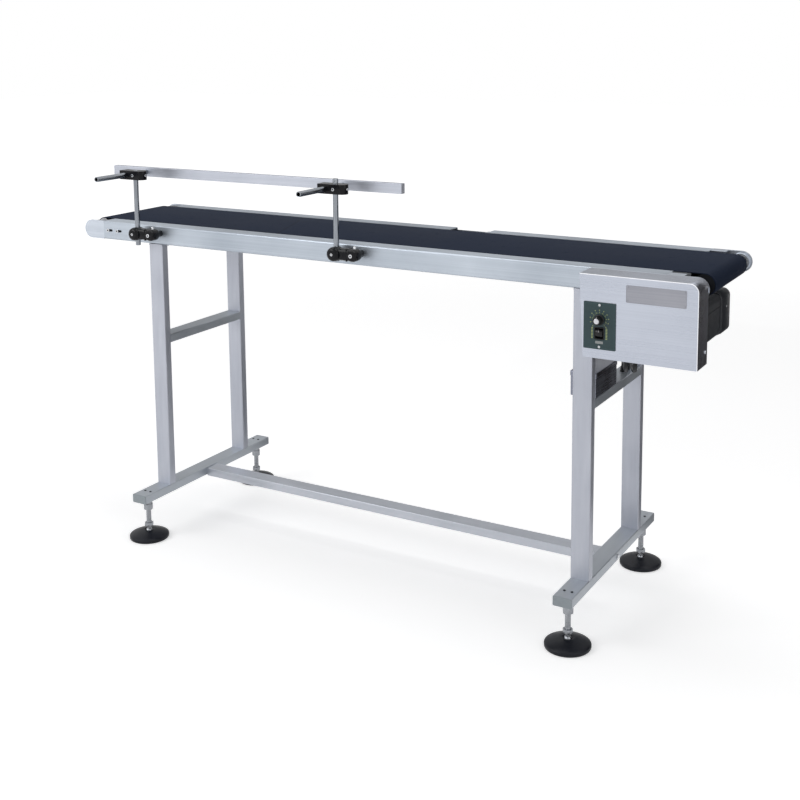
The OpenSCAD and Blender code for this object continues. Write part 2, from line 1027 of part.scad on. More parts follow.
module supply_box() {
    color("silver")
        on_line()
            translate([box_x0, box_y0, cross_bar_z])
                difference() {
                    cube([box_len, box_w, box_h]);
                    translate([box_wall, box_wall, box_wall])
                        cube([box_len - 2 * box_wall, box_w - 2 * box_wall, box_h - 2 * box_wall]);
                }
}

// Point on a lead, t from 0 at the cover's gland to 1 at the cross bar's gland
function lead_start(i) = [motor_x + lead_dx[i], lead_y, cover_z - gland_h];
function lead_finish(i) = [leg_x[RIGHT], lead_end_y[i], cross_bar_z + gland_h];
function lead_knots(i) = [
    lead_start(i), lead_start(i) - [0, 0, lead_dip],
    lead_finish(i) + [0, 0, lead_dip], lead_finish(i),
];
function bezier(k, t) =
    pow(1 - t, 3) * k[0] + 3 * t * pow(1 - t, 2) * k[1] + 3 * t * t * (1 - t) * k[2] + t * t * t * k[3];
function bezier_slope(k, t) =
    pow(1 - t, 2) * (k[1] - k[0]) + 2 * t * (1 - t) * (k[2] - k[1]) + t * t * (k[3] - k[2]);
function lead_point(i, t) = bezier(lead_knots(i), t);
function unit(v) = v / norm(v);
function lead_dir(i, t) = unit(bezier_slope(lead_knots(i), t));
// The ring's two directions are square to the lead and turn steadily along it
function ring_side(i, t) = unit(cross(lead_dir(i, t), unit(lead_finish(i) - lead_start(i) + [400, 0, 0])));
function lead_ring(i, t) = [
    for (k = [0 : lead_sides - 1])
        lead_point(i, t)
            + lead_d / 2 * cos(360 * k / lead_sides) * ring_side(i, t)
            + lead_d / 2 * sin(360 * k / lead_sides) * cross(lead_dir(i, t), ring_side(i, t))
];

module lead(i) {
    n = lead_sides;
    last = lead_rings - 1;
    points = [for (r = [0 : last]) each lead_ring(i, r / last)];
    walls = [
        for (r = [0 : last - 1], k = [0 : n - 1])
            each [
                [r * n + k, (r + 1) * n + k, (r + 1) * n + (k + 1) % n],
                [r * n + k, (r + 1) * n + (k + 1) % n, r * n + (k + 1) % n],
            ]
    ];
    first_end = [for (k = [0 : n - 1]) k];
    last_end = [for (k = [n - 1 : -1 : 0]) last * n + k];
    polyhedron(points = points, faces = concat(walls, [first_end, last_end]), convexity = 4);
}

module drive_leads() {
    color("#202024")
        on_line()
            for (i = [0, 1])
                lead(i);
}

module cable_glands() {
    color("#202020")
        on_line()
            for (i = [0, 1]) {
                translate([motor_x + lead_dx[i], lead_y, cover_z - gland_h])
                    cylinder(h = gland_h, r1 = lead_d / 2 + 1, r2 = gland_r);
                translate([leg_x[RIGHT], lead_end_y[i], cross_bar_z])
                    cylinder(h = gland_h, r1 = gland_r, r2 = lead_d / 2 + 1);
            }
}

// ---- feet ----

// Places a foot part under a base bar
module at_foot(i, side) {
    on_side(side)
        translate([leg_x[i], -foot_y, 0])
            children();
}

module foot_lock_nuts() {
    color("silver")
        on_line()
            for (i = [LEFT, RIGHT], side = [FRONT, BACK])
                at_foot(i, side)
                    translate([0, 0, base_z - nut_h])
                        difference() {
                            cylinder(h = nut_h, r = hex_r, $fn = 6);
                            translate([0, 0, -1])
                                cylinder(h = nut_h + 2, r = stem_d / 2 + run_gap);
                        }
}

module foot_stem(i, side) {
    color("silver")
        on_line()
            at_foot(i, side) {
                translate([0, 0, ball_z])
                    sphere(r = ball_r);
                translate([0, 0, ball_z])
                    cylinder(h = collar_z - ball_z, r = neck_r);
                translate([0, 0, collar_z])
                    cylinder(h = collar_h, r = hex_r, $fn = 6);
                translate([0, 0, collar_z])
                    cylinder(h = stem_top_z - collar_z, r = stem_d / 2);
            }
}

module foot_pad(i, side) {
    dome_rise = pad_dome_z - pad_rim_h;
    pad_r = pad_d / 2;
    dome_r = (pad_r * pad_r + dome_rise * dome_rise) / (2 * dome_rise);
    socket_r = ball_r + 2 * run_gap;
    color("#1b1b1d")
        on_line()
            at_foot(i, side)
                difference() {
                    rotate_extrude() {
                        square([pad_r, pad_rim_h]);
                        intersection() {
                            translate([0, pad_dome_z - dome_r])
                                circle(dome_r, $fn = 360);
                            translate([0, pad_rim_h - 1])
                                square([pad_r, dome_rise + 2]);
                        }
                        square([neck_r + 10, pad_top_z]);
                    }
                    translate([0, 0, ball_z])
                        sphere(r = socket_r);
                    translate([0, 0, ball_z])
                        cylinder(h = pad_top_z + 1 - ball_z, r1 = neck_r + 1.2, r2 = neck_r + 4);
                }
}

module foot_stem_left_front() { foot_stem(LEFT, FRONT); }
module foot_stem_left_back() { foot_stem(LEFT, BACK); }
module foot_stem_right_front() { foot_stem(RIGHT, FRONT); }
module foot_stem_right_back() { foot_stem(RIGHT, BACK); }
module foot_pad_left_front() { foot_pad(LEFT, FRONT); }
module foot_pad_left_back() { foot_pad(LEFT, BACK); }
module foot_pad_right_front() { foot_pad(RIGHT, FRONT); }
module foot_pad_right_back() { foot_pad(RIGHT, BACK); }

// ---- side guide ----

module lower_clamps() {
    color("#1b1b1d")
        on_line()
            for (x = post_x)
                difference() {
                    union() {
                        rod_y(x, post_y - lobe_front, clamp_z, lobe_front + lobe_back, lobe_r);
                        rod_y(x + lobe_gap_x, post_y - lobe_front + 4, clamp_z,
                            -rail_y - post_y + lobe_front - 4, small_lobe_r);
                        translate([x, post_y - 13, clamp_z - 9])
                            cube([lobe_gap_x, 24, 18]);
                    }
                    translate([x, post_y, clamp_z - lobe_r - 1])
                        cylinder(h = 2 * lobe_r + 2, r = rod_d / 2 + run_gap);
                    rod_y(x + lobe_gap_x, post_y - lobe_front, clamp_z, 60, clamp_screw_r);
                    translate([x + lobe_gap_x, post_y, stud_z])
                        cylinder(h = 10, r = stud_r);
                }
}

module clamp_bolts() {
    front_y = post_y - lobe_front;
    color("white")
        on_line()
            for (x = post_x) {
                rod_y(x, front_y - 1.5, clamp_z, 1.5, clamp_screw_r);
                rod_y(x + lobe_gap_x, front_y + 1, clamp_z, 3, clamp_screw_r + 2);
                rod_y(x + lobe_gap_x, front_y + 1, clamp_z, -rail_y + rail_t + 10 - front_y - 1, clamp_screw_r);
                rod_y(x + lobe_gap_x, -rail_y + rail_t, clamp_z, 5, clamp_screw_r + 2);
                translate([x + lobe_gap_x, post_y, stud_z])
                    cylinder(h = 6, r = stud_r);
            }
}

module guide_posts() {
    color("silver")
        on_line()
            for (i = [LEFT, RIGHT])
                translate([post_x[i], post_y, post_z0[i]])
                    cylinder(h = post_len, r = rod_d / 2);
}

module upper_clamps() {
    body_r = upper_clamp_y;
    color("#1b1b1d")
        on_line()
            for (x = post_x)
                translate([x, post_y, rod_z - upper_clamp_h / 2])
                    difference() {
                        union() {
                            translate([-upper_clamp_left, -body_r, 0])
                                cube([upper_clamp_left + upper_clamp_right - body_r, 2 * body_r, upper_clamp_h]);
                            translate([upper_clamp_right - body_r, 0, 0])
                                cylinder(h = upper_clamp_h, r = body_r);
                        }
                        translate([0, 0, -1])
                            cylinder(h = upper_clamp_h + 2, r = rod_d / 2);
                        rod_y(rod_dx, -body_r - 1, upper_clamp_h / 2, 2 * body_r + 2, rod_d / 2 + run_gap);
                    }
}

module guide_rods() {
    len = bar_y - rod_front_y;
    color("silver")
        on_line()
            for (x = post_x)
                difference() {
                    rod_y(x + rod_dx, rod_front_y, rod_z, len, rod_d / 2);
                    rod_y(x + rod_dx, rod_front_y - 1, rod_z, len - rod_plug, rod_bore_d / 2);
                }
}

module guide_bar() {
    color("silver")
        on_line()
            translate([bar_x0, bar_y, rod_z - guide_h / 2])
                cube([guide_len, guide_t, guide_h]);
}

side_rail_front();
side_rail_back();
bed_pan();
cross_members();
belt();
drive_plate_front();
drive_plate_back();
tail_plate_front();
tail_plate_back();
drum_bearings();
drive_drum();
drum_pulley();
output_shaft();
motor_pulley();
timing_belt();
tail_roller();
tail_axle();
take_up_blocks();
take_up_screws();
drive_mount_plate();
drive_cover();
cover_screws();
name_plate();
control_plate();
controller_case();
speed_knob();
rocker_switch();
gearbox();
motor_body();
motor_end_bell();
motor_bolts();
upright_left_front();
upright_left_back();
upright_right_front();
upright_right_back();
cross_bar_left();
cross_bar_right();
base_bar_left();
base_bar_right();
base_end_caps();
stretcher();
frame_bolts();
supply_box();
drive_leads();
cable_glands();
foot_lock_nuts();
foot_stem_left_front();
foot_stem_left_back();
foot_stem_right_front();
foot_stem_right_back();
foot_pad_left_front();
foot_pad_left_back();
foot_pad_right_front();
foot_pad_right_back();
lower_clamps();
clamp_bolts();
guide_posts();
upper_clamps();
guide_rods();
guide_bar();
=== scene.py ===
"""Belt conveyor section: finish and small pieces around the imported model."""
import math

import bmesh
import bpy
import numpy as np
from mathutils import Matrix, Vector


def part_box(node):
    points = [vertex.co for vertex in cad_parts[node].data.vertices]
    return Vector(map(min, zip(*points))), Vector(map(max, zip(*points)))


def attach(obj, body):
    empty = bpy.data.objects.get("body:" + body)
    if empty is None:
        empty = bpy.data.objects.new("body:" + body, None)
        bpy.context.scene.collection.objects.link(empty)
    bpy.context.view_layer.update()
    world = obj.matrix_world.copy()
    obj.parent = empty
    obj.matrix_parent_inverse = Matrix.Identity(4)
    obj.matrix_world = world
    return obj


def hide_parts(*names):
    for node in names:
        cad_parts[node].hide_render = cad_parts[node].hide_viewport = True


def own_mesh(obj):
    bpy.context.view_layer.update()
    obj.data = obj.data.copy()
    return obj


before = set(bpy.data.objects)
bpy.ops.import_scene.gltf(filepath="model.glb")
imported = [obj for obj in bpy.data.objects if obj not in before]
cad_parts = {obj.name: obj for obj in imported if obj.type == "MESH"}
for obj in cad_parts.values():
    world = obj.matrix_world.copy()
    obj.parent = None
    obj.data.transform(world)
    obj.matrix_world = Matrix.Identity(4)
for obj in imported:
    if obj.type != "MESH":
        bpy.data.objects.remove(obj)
bpy.context.view_layer.update()


# ---- Camera ----
# Stands at eye height in front of the drive end and looks slightly down along the belt.
# The lens is a short telephoto, shifted down to keep the legs nearly upright.
camera_place = (1.3893, -2.3107, 1.2060)
camera_turn = math.radians(30.28)
camera_tilt = math.radians(-7.98)
camera_roll = math.radians(-0.50)

camera_data = bpy.data.cameras.new("camera")
camera_data.lens = 54.9
camera_data.sensor_width = 36.0
camera_data.shift_y = -0.25
camera = bpy.data.objects.new("camera", camera_data)
camera.matrix_world = (
    Matrix.Translation(camera_place)
    @ Matrix.Rotation(camera_turn, 4, "Z")
    @ Matrix.Rotation(math.pi / 2 + camera_tilt, 4, "X")
    @ Matrix.Rotation(camera_roll, 4, "Z")
)
bpy.context.scene.collection.objects.link(camera)
bpy.context.scene.camera = camera


# ---- Studio ----
# A pale floor that runs out into a white surround, lit by a big softbox from the front left,
# a long one overhead and a weak one from the right. The floor keeps the soft shadow.
def softbox(name, place, target, width, height, watts):
    """Rectangular lamp at a place, facing its target."""
    lamp = bpy.data.lights.new(name, "AREA")
    lamp.shape = "RECTANGLE"
    lamp.size, lamp.size_y, lamp.energy = width, height, watts
    holder = bpy.data.objects.new(name, lamp)
    aim = Vector(target) - Vector(place)
    holder.matrix_world = Matrix.Translation(place) @ aim.to_track_quat("-Z", "Y").to_matrix().to_4x4()
    bpy.context.scene.collection.objects.link(holder)


def maths(nodes, links, operation, *terms):
    """Result of one Math node, whose terms are numbers or other nodes' outputs."""
    node = nodes.new("ShaderNodeMath")
    node.operation = operation
    for socket, term in zip(node.inputs, terms):
        if isinstance(term, float):
            socket.default_value = term
        else:
            links.new(term, socket)
    return node.outputs[0]


def spread(nodes, links, factor, source, target=(0.0, 1.0), blend="LINEAR"):
    """A factor carried from its source range to a target range, and held at the target's ends."""
    node = nodes.new("ShaderNodeMapRange")
    node.interpolation_type = blend
    for socket, value in zip(("From Min", "From Max", "To Min", "To Max"), (*source, *target)):
        node.inputs[socket].default_value = value
    links.new(factor, node.inputs["Value"])
    return node.outputs["Result"]


def seen_directly(nodes, links):
    """1 for rays from the camera, off gloss or through glass, 0 for the light that falls on things."""
    path = nodes.new("ShaderNodeLightPath").outputs
    direct = maths(nodes, links, "MAXIMUM", path["Is Camera Ray"], path["Is Glossy Ray"])
    return maths(nodes, links, "MAXIMUM", direct, path["Is Transmission Ray"])


softbox("key", (-2.4, -3.2, 2.6), (0.0, 0.0, 0.5), 2.4, 2.0, 62)
softbox("top", (0.0, 0.3, 2.9), (0.0, 0.0, 0.7), 3.4, 1.4, 26)
softbox("right", (3.2, -1.2, 1.6), (0.3, 0.0, 0.5), 1.6, 1.6, 8)

world = bpy.data.worlds.new("surround")
world.use_nodes = True
bpy.context.scene.world = world
sky = world.node_tree.nodes
sky_links = world.node_tree.links
background = sky["Background"]
background.inputs["Color"].default_value = (1.0, 1.0, 1.0, 1.0)
# the world lights things at 0.34 and is seen at 1, which is white
sky_strength = spread(sky, sky_links, seen_directly(sky, sky_links), (0.0, 1.0), (0.34, 1.0))
sky_links.new(sky_strength, background.inputs["Strength"])


def stage_card(name, corners, colour, glow_near, glow_far, near, far):
    """Flat stage surface whose own glow, for direct rays only, changes with the distance from the middle."""
    mesh = bpy.data.meshes.new(name)
    mesh.from_pydata(corners, [], [(0, 1, 2, 3)])
    card = bpy.data.objects.new(name, mesh)
    bpy.context.scene.collection.objects.link(card)
    paint = bpy.data.materials.new(name)
    paint.use_nodes = True
    nodes, links = paint.node_tree.nodes, paint.node_tree.links
    shader = nodes["Principled BSDF"]
    shader.inputs["Base Color"].default_value = (*colour, 1.0)
    shader.inputs["Roughness"].default_value = 0.85
    shader.inputs["Specular IOR Level"].default_value = 0.1
    shader.inputs["Emission Color"].default_value = (1.0, 1.0, 1.0, 1.0)
    place = nodes.new("ShaderNodeTexCoord")
    reach = nodes.new("ShaderNodeVectorMath")
    reach.operation = "LENGTH"
    links.new(place.outputs["Object"], reach.inputs[0])
    glow = spread(nodes, links, reach.outputs["Value"], (near, far), (glow_near, glow_far), "SMOOTHSTEP")
    shown = maths(nodes, links, "MULTIPLY", seen_directly(nodes, links), glow)
    links.new(shown, shader.inputs["Emission Strength"])
    mesh.materials.append(paint)
    return card


floor_half = 16.0
stage_card(
    "floor",
    [(x * floor_half, y * floor_half, -0.0005) for x, y in ((-1, -1), (1, -1), (1, 1), (-1, 1))],
    (0.86, 0.86, 0.865), 0.48, 0.80, 1.2, 6.0,
)

# Three cards are seen only in gloss. A dark flag behind the drive end darkens what the right-hand
# faces mirror.
flag = stage_card(
    "flag", [(0.95, 1.35, 0.0), (3.6, 1.1, 0.0), (3.6, 1.1, 1.9), (0.95, 1.35, 1.9)],
    (0.060, 0.052, 0.050), 0.0, 0.0, 1.0, 2.0,
)

# A grey one far behind, which the level faces mirror, keeps them darker than the front.
backing = stage_card(
    "backing", [(-9.0, 5.5, 0.25), (2.0, 5.5, 0.25), (2.0, 5.5, 4.0), (-9.0, 5.5, 4.0)],
    (0.30, 0.30, 0.31), 0.34, 0.34, 1.0, 2.0,
)

# A dark grey one low on the floor behind the stand does the same for the lower tubes' right-hand faces.
apron = stage_card(
    "apron", [(-0.45, 0.40, 0.003), (3.2, 0.40, 0.003), (3.2, 2.6, 0.003), (-0.45, 2.6, 0.003)],
    (0.12, 0.125, 0.135), 0.03, 0.03, 1.0, 2.0,
)
for card in (flag, backing, apron):
    card.visible_camera = False
    card.visible_shadow = False
    card.visible_diffuse = False


# ---- Stand ----
# Two ladder frames of welded 40 x 20 mm steel tube on long base bars, with one stretcher low
# between them. Ground flush at the joints and finished in a satin silver with a lilac cast.
def new_group(name, inputs, outputs):
    """Empty shader group with named sockets; returns the tree and its input and output nodes."""
    tree = bpy.data.node_groups.new(name, "ShaderNodeTree")
    for socket, kind, value in inputs:
        tree.interface.new_socket(socket, in_out="INPUT", socket_type=kind).default_value = value
    for socket, kind in outputs:
        tree.interface.new_socket(socket, in_out="OUTPUT", socket_type=kind)
    return tree, tree.nodes.new("NodeGroupInput"), tree.nodes.new("NodeGroupOutput")


def grain_group():
    """Grain: noise drawn out along one axis. Marks: large faint handling patches. Scuffs: small worn spots."""
    tree, source, result = new_group(
        "grain and marks",
        [("Stretch", "NodeSocketVector", (2.0, 400.0, 400.0)), ("Patch Scale", "NodeSocketFloat", 6.0)],
        [("Grain", "NodeSocketFloat"), ("Marks", "NodeSocketFloat"), ("Scuffs", "NodeSocketFloat")],
    )

    def noise(vector, scale, detail):
        """Noise along a vector, its scale a number or another node's output."""
        node = tree.nodes.new("ShaderNodeTexNoise")
        node.inputs["Detail"].default_value = detail
        tree.links.new(vector, node.inputs["Vector"])
        if isinstance(scale, float):
            node.inputs["Scale"].default_value = scale
        else:
            tree.links.new(scale, node.inputs["Scale"])
        return node.outputs["Fac"]

    place = tree.nodes.new("ShaderNodeTexCoord")
    drawn = tree.nodes.new("ShaderNodeVectorMath")
    drawn.operation = "MULTIPLY"
    tree.links.new(place.outputs["Object"], drawn.inputs[0])
    tree.links.new(source.outputs["Stretch"], drawn.inputs[1])
    grain = noise(drawn.outputs[0], 1.0, 3.0)
    patch = noise(place.outputs["Object"], source.outputs["Patch Scale"], 4.0)
    scuff = noise(place.outputs["Object"], 55.0, 6.0)
    worn = spread(tree.nodes, tree.links, scuff, (0.62, 0.72))
    tree.links.new(grain, result.inputs["Grain"])
    tree.links.new(patch, result.inputs["Marks"])
    tree.links.new(worn, result.inputs["Scuffs"])
    return tree


grain_and_marks = grain_group()


def tinted(nodes, links, factor, dark, light):
    """Colour between two by a 0 to 1 factor, each a colour or another node's output."""
    node = nodes.new("ShaderNodeMix")
    node.data_type = "RGBA"
    links.new(factor, node.inputs[0])
    for socket, colour in ((node.inputs[6], dark), (node.inputs[7], light)):
        if isinstance(colour, tuple):
            socket.default_value = (*colour, 1.0)
        else:
            links.new(colour, socket)
    return node.outputs[2]


def finish_of(
    name, dark, light, rough, stretch=(300.0, 300.0, 300.0), metallic=0.0, patch=8.0, relief=0.00005,
    grain_share=0.5, gloss=0.5,
):
    """Surface with grain and marks in its colour, gloss and relief: metal, paint or plastic by its numbers.
    noise_middle is the part of a noise's range that most of it lies in."""
    noise_middle = (0.3, 0.7)
    material = bpy.data.materials.new(name)
    material.use_nodes = True
    nodes, links = material.node_tree.nodes, material.node_tree.links
    shader = nodes["Principled BSDF"]
    shader.inputs["Metallic"].default_value = metallic
    shader.inputs["Specular IOR Level"].default_value = gloss
    group = nodes.new("ShaderNodeGroup")
    group.node_tree = grain_and_marks
    group.inputs["Stretch"].default_value = stretch
    group.inputs["Patch Scale"].default_value = patch
    both = maths(
        nodes, links, "ADD",
        spread(nodes, links, group.outputs["Grain"], noise_middle, (0.0, grain_share)),
        spread(nodes, links, group.outputs["Marks"], noise_middle, (0.0, 1.0 - grain_share)),
    )
    links.new(tinted(nodes, links, both, dark, light), shader.inputs["Base Color"])
    uneven = spread(nodes, links, both, noise_middle, (rough - 0.04, rough + 0.05))
    dulled = maths(nodes, links, "MULTIPLY_ADD", group.outputs["Scuffs"], 0.08, uneven)
    links.new(dulled, shader.inputs["Roughness"])
    bump = nodes.new("ShaderNodeBump")
    bump.inputs["Strength"].default_value = 0.35
    bump.inputs["Distance"].default_value = relief
    links.new(group.outputs["Grain"], bump.inputs["Height"])
    links.new(bump.outputs["Normal"], shader.inputs["Normal"])
    return material


def dress(name, material, edge=0.0):
    """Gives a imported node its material, and breaks its sharp edges by a small round."""
    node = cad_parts[name]
    node.data.materials.clear()
    node.data.materials.append(material)
    if edge:
        node.modifiers.new("weld", "WELD").merge_threshold = 0.00001
        flat = node.modifiers.new("flat", "DECIMATE")
        flat.decimate_type = "DISSOLVE"
        flat.angle_limit = math.radians(0.5)
        edges = node.modifiers.new("edge", "BEVEL")
        edges.width, edges.segments = edge, 2
        edges.limit_method = "ANGLE"
        edges.angle_limit = math.radians(35)
        edges.harden_normals = True
    return node


frame_silver = finish_of(
    "satin frame silver", (0.42, 0.44, 0.50), (0.52, 0.54, 0.60), 0.40, (90.0, 90.0, 9.0), 0.65, 9.0
)
bar_silver = finish_of(
    "satin frame silver, bars", (0.40, 0.43, 0.475), (0.50, 0.535, 0.575), 0.40,
    (90.0, 9.0, 90.0), 0.65, 9.0,
)
for side in ("left", "right"):
    dress(f"cross_bar_{side}", bar_silver, 0.0003)
    dress(f"base_bar_{side}", bar_silver, 0.0003)
    for depth in ("front", "back"):
        dress(f"upright_{side}_{depth}", frame_silver, 0.0003)
# The stretcher has the legs' paint in a lighter colour: painted reflection of the pale floor on its front.
dress("stretcher", finish_of(
    "satin frame silver, stretcher, painted floor reflection", (0.48, 0.51, 0.56), (0.60, 0.62, 0.68), 0.40,
    (9.0, 90.0, 90.0), 0.65, 9.0,
), 0.0003)
dress("base_end_caps", finish_of(
    "grey cap plastic", (0.30, 0.34, 0.37), (0.36, 0.40, 0.43), 0.46, relief=0.00003
), 0.0006)


# ---- Feet ----
# Levelling feet: a zinc-plated threaded stem with a hexagon to turn it by, on a ball in a
# domed pad of navy-black nylon. A nut locks the stem under the base bar.
def skinned(rings, hoop=False):
    """Skin over rings of points, rings[i, j] being point j of ring i: quads between neighbouring rings,
    and a flat face over the first and the last one, or a hoop that joins them."""
    rows, columns = rings.shape[:2]
    at = np.arange(rows * columns).reshape(rows, columns)
    beside = np.roll(at, -1, axis=1)
    if hoop:
        quads = np.stack([at, beside, np.roll(beside, -1, axis=0), np.roll(at, -1, axis=0)], axis=-1)
        return rings.reshape(-1, 3), quads.reshape(-1, 4).tolist()
    quads = np.stack([at[:-1], beside[:-1], beside[1:], at[1:]], axis=-1)
    return rings.reshape(-1, 3), quads.reshape(-1, 4).tolist() + [at[0, ::-1].tolist(), at[-1].tolist()]


def around(sides):
    """Equal angles round a full turn."""
    return np.linspace(0.0, 2.0 * np.pi, sides, endpoint=False)


def turned(radii, heights, centre, axis=(0.0, 0.0, 1.0), sides=48, hoop=False):
    """Turned surface: point(u, v) = centre + radius(v, u) across the axis at the angle u + height(v)
    along it. A radius that changes with u gives hexagons, flutes, slots and threads."""
    along = np.array(axis, dtype=float)
    across = np.array([1.0, 0.0, 0.0]) if abs(along[0]) < 0.5 else np.array([0.0, 1.0, 0.0])
    other = np.cross(along, across)
    rim = np.outer(np.cos(around(sides)), across) + np.outer(np.sin(around(sides)), other)
    rows = len(heights)
    height = np.array(heights, dtype=float).reshape(rows, -1)
    radius = np.array(radii, dtype=float).reshape(rows, -1)
    rings = np.array(centre) + radius[..., None] * rim[None] + height[..., None] * along
    return skinned(rings, hoop)


def middle_of(name):
    """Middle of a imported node's box."""
    low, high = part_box(name)
    return (np.array(low) + np.array(high)) / 2


def hexagon(angle):
    """Radius at an angle of a hexagon whose corners are at 1."""
    return math.cos(math.pi / 6) / np.cos(np.mod(angle, math.pi / 3) - math.pi / 6)


def hex_head(centre, axis, radius, height, sides=48):
    """Hexagon with its corners turned off: at each height the lesser of the hexagon and a cone."""
    cone = np.array([0.90, 1.0, 1.0, 0.90])[:, None] * radius
    return turned(
        np.minimum(hexagon(around(sides))[None] * radius, cone),
        (0.0, 0.14 * radius, height - 0.14 * radius, height), centre, axis, sides,
    )


def piece(name, surfaces, material, body, slot, *stands_for, painted_shade=(), painted_shade_material=None, crease=32):
    """One mesh from closed surfaces, with its faces turned outwards, riding on its body. The extra shells for
    painted shade, such as the bottoms of slots painted dark, take the second material."""
    shells = [*surfaces, *painted_shade]
    starts = np.cumsum([0] + [len(points) for points, _ in shells])
    faces = [
        [corner + start for corner in face] for (_, some), start in zip(shells, starts) for face in some
    ]
    mesh = bpy.data.meshes.new(name)
    mesh.from_pydata(np.concatenate([points for points, _ in shells]), [], faces)
    outer = sum(len(some) for _, some in surfaces)
    mesh.materials.append(material)
    if painted_shade:
        mesh.materials.append(painted_shade_material)
        is_painted_shade = np.arange(len(faces)) >= outer
        mesh.polygons.foreach_set("material_index", is_painted_shade.astype(np.int32))
    shell = bmesh.new()
    shell.from_mesh(mesh)
    bmesh.ops.recalc_face_normals(shell, faces=shell.faces)
    shell.to_mesh(mesh)
    shell.free()
    mesh.shade_smooth()
    mesh.set_sharp_from_angle(angle=math.radians(crease))
    made = bpy.data.objects.new(name, mesh)
    bpy.context.scene.collection.objects.link(made)
    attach(made, body)
    if stands_for:
        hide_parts(*stands_for)
    return made


bright_steel = finish_of(
    "bright plated steel", (0.50, 0.51, 0.53), (0.66, 0.67, 0.69), 0.24, (120.0, 120.0, 700.0), 1.0, 30.0
)
pad_nylon = finish_of(
    "navy-black nylon", (0.0050, 0.0060, 0.0100), (0.0110, 0.0125, 0.0190), 0.38,
    (260.0, 260.0, 260.0), 0.0, 20.0, 0.00008, 0.5, 0.22,
)
stem_steel = finish_of(
    "dull plated steel", (0.24, 0.25, 0.27), (0.36, 0.375, 0.40), 0.30, (120.0, 120.0, 500.0), 1.0, 30.0
)
millimetre = 0.001
pad_profile = millimetre * np.array([
    (44.0, 0.0), (45.8, 0.5), (46.6, 1.8), (46.8, 6.6), (46.2, 8.2), (44.8, 9.4), (42.4, 10.8), (37.0, 12.9),
    (28.0, 16.0), (19.0, 18.3), (13.2, 19.2), (11.4, 19.2), (9.8, 18.6), (8.8, 17.6), (8.0, 16.5),
])
up = (0.0, 0.0, 1.0)
stem_radius, stem_sides = 0.006, 36
thread_start, thread_pitch, thread_depth = 0.0400, 0.00175, 0.0003
ball_z, ball_radius, neck_radius = 0.016, 0.0079, 0.0045
ball_turn = np.linspace(-1.3, 0.95, 14)
collar_z, collar_radius, collar_height = 0.029, 0.0108, 0.008
nut_drop, nut_radius, nut_height, washer_radius = 0.035, 0.0114, 0.0135, 0.0088
feet, nuts = {}, []
for side in ("left", "right"):
    for depth in ("front", "back"):
        stem_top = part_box(f"foot_stem_{side}_{depth}")[1][2]
        foot = middle_of(f"foot_stem_{side}_{depth}") * [1.0, 1.0, 0.0]
        feet[side, depth] = foot
        piece(
            f"foot_pad_{side}_{depth}_moulded", [turned(*pad_profile.T, foot, sides=96)], pad_nylon,
            f"pad_{side}_{depth}", "foot_plastic", f"foot_pad_{side}_{depth}",
        )
        thread_z = np.arange(thread_start, stem_top - 0.001, thread_pitch / 6)
        lead = np.mod(thread_z[:, None] / thread_pitch - around(stem_sides)[None] / (2 * np.pi), 1.0)
        thread = stem_radius - thread_depth * (1.0 - np.abs(2.0 * lead - 1.0))
        stem_radii = np.vstack([
            np.full((2, stem_sides), stem_radius), thread, np.full((1, stem_sides), stem_radius - 0.0008)
        ])
        stem_heights = np.concatenate([[0.036, thread_start - 0.0005], thread_z, [stem_top]])
        piece(
            f"foot_stem_{side}_{depth}_turned",
            [
                turned(
                    np.concatenate([ball_radius * np.cos(ball_turn), [neck_radius, neck_radius]]),
                    np.concatenate([ball_z + ball_radius * np.sin(ball_turn), [0.0245, 0.030]]),
                    foot, sides=stem_sides,
                ),
                hex_head(foot + [0, 0, collar_z], up, collar_radius, collar_height),
                turned(stem_radii, stem_heights, foot, sides=stem_sides),
            ],
            stem_steel, f"foot_{side}_{depth}", "fastener_steel", f"foot_stem_{side}_{depth}",
        )
        nut_z = stem_top - nut_drop
        nuts.append(hex_head(foot + [0, 0, nut_z], up, nut_radius, nut_height))
        nuts.append(turned(
            (washer_radius, washer_radius), (nut_z + 0.013, nut_z + 0.024), foot, sides=stem_sides
        ))
piece("foot_lock_nuts_chamfered", nuts, stem_steel, "frame", "fastener_steel", "foot_lock_nuts")


# ---- Frame bolts ----
# Hexagon bolts through the leg plates into the rails' lower flanges, one through each end of
# the stretcher, and two dark cross-slotted screws over each foot that hold the threaded insert.
def cross_slot(angle):
    """Radius at an angle of a cross recess: the greater of two slots at right angles."""
    one, two = np.abs(np.sin(angle)) + 1e-6, np.abs(np.cos(angle)) + 1e-6
    return np.maximum(np.minimum(0.62, 0.13 / one), np.minimum(0.62, 0.13 / two))


def straight_slot(angle):
    """Radius at an angle of one straight slot."""
    return np.minimum(0.90, 0.13 / (np.abs(np.sin(angle)) + 1e-6))


def hex_socket(angle):
    """Radius at an angle of a hexagon socket."""
    return 0.52 * hexagon(angle)


def screw_head(centre, axis, radius, height, recess, depth, sides=64):
    """Round head whose rim rounds over and drops into a recess; returns the head and the recess's
    floor, a shell that takes the painted shade."""
    rim = np.array([1.0, 1.0, 0.985, 0.94])[:, None] * np.full((1, sides), radius)
    mouth = recess(around(sides))[None] * radius
    rise = [0.0, 0.72 * height, 0.9 * height, height, height, height - depth]
    head = turned(np.vstack([rim, mouth, mouth]), rise, centre, axis, sides)
    floor = turned(
        np.vstack([mouth, mouth]) * 0.98, (height - depth, height - 0.8 * depth), centre, axis, sides
    )
    return head, floor


# Painted shade: near-black matt colour for the floors of recesses and the insides of hollows, standing in for the
# shade in them.
painted_recess_shade = finish_of("painted recess shade", (0.010, 0.010, 0.012), (0.022, 0.022, 0.025), 0.6, metallic=0.0)


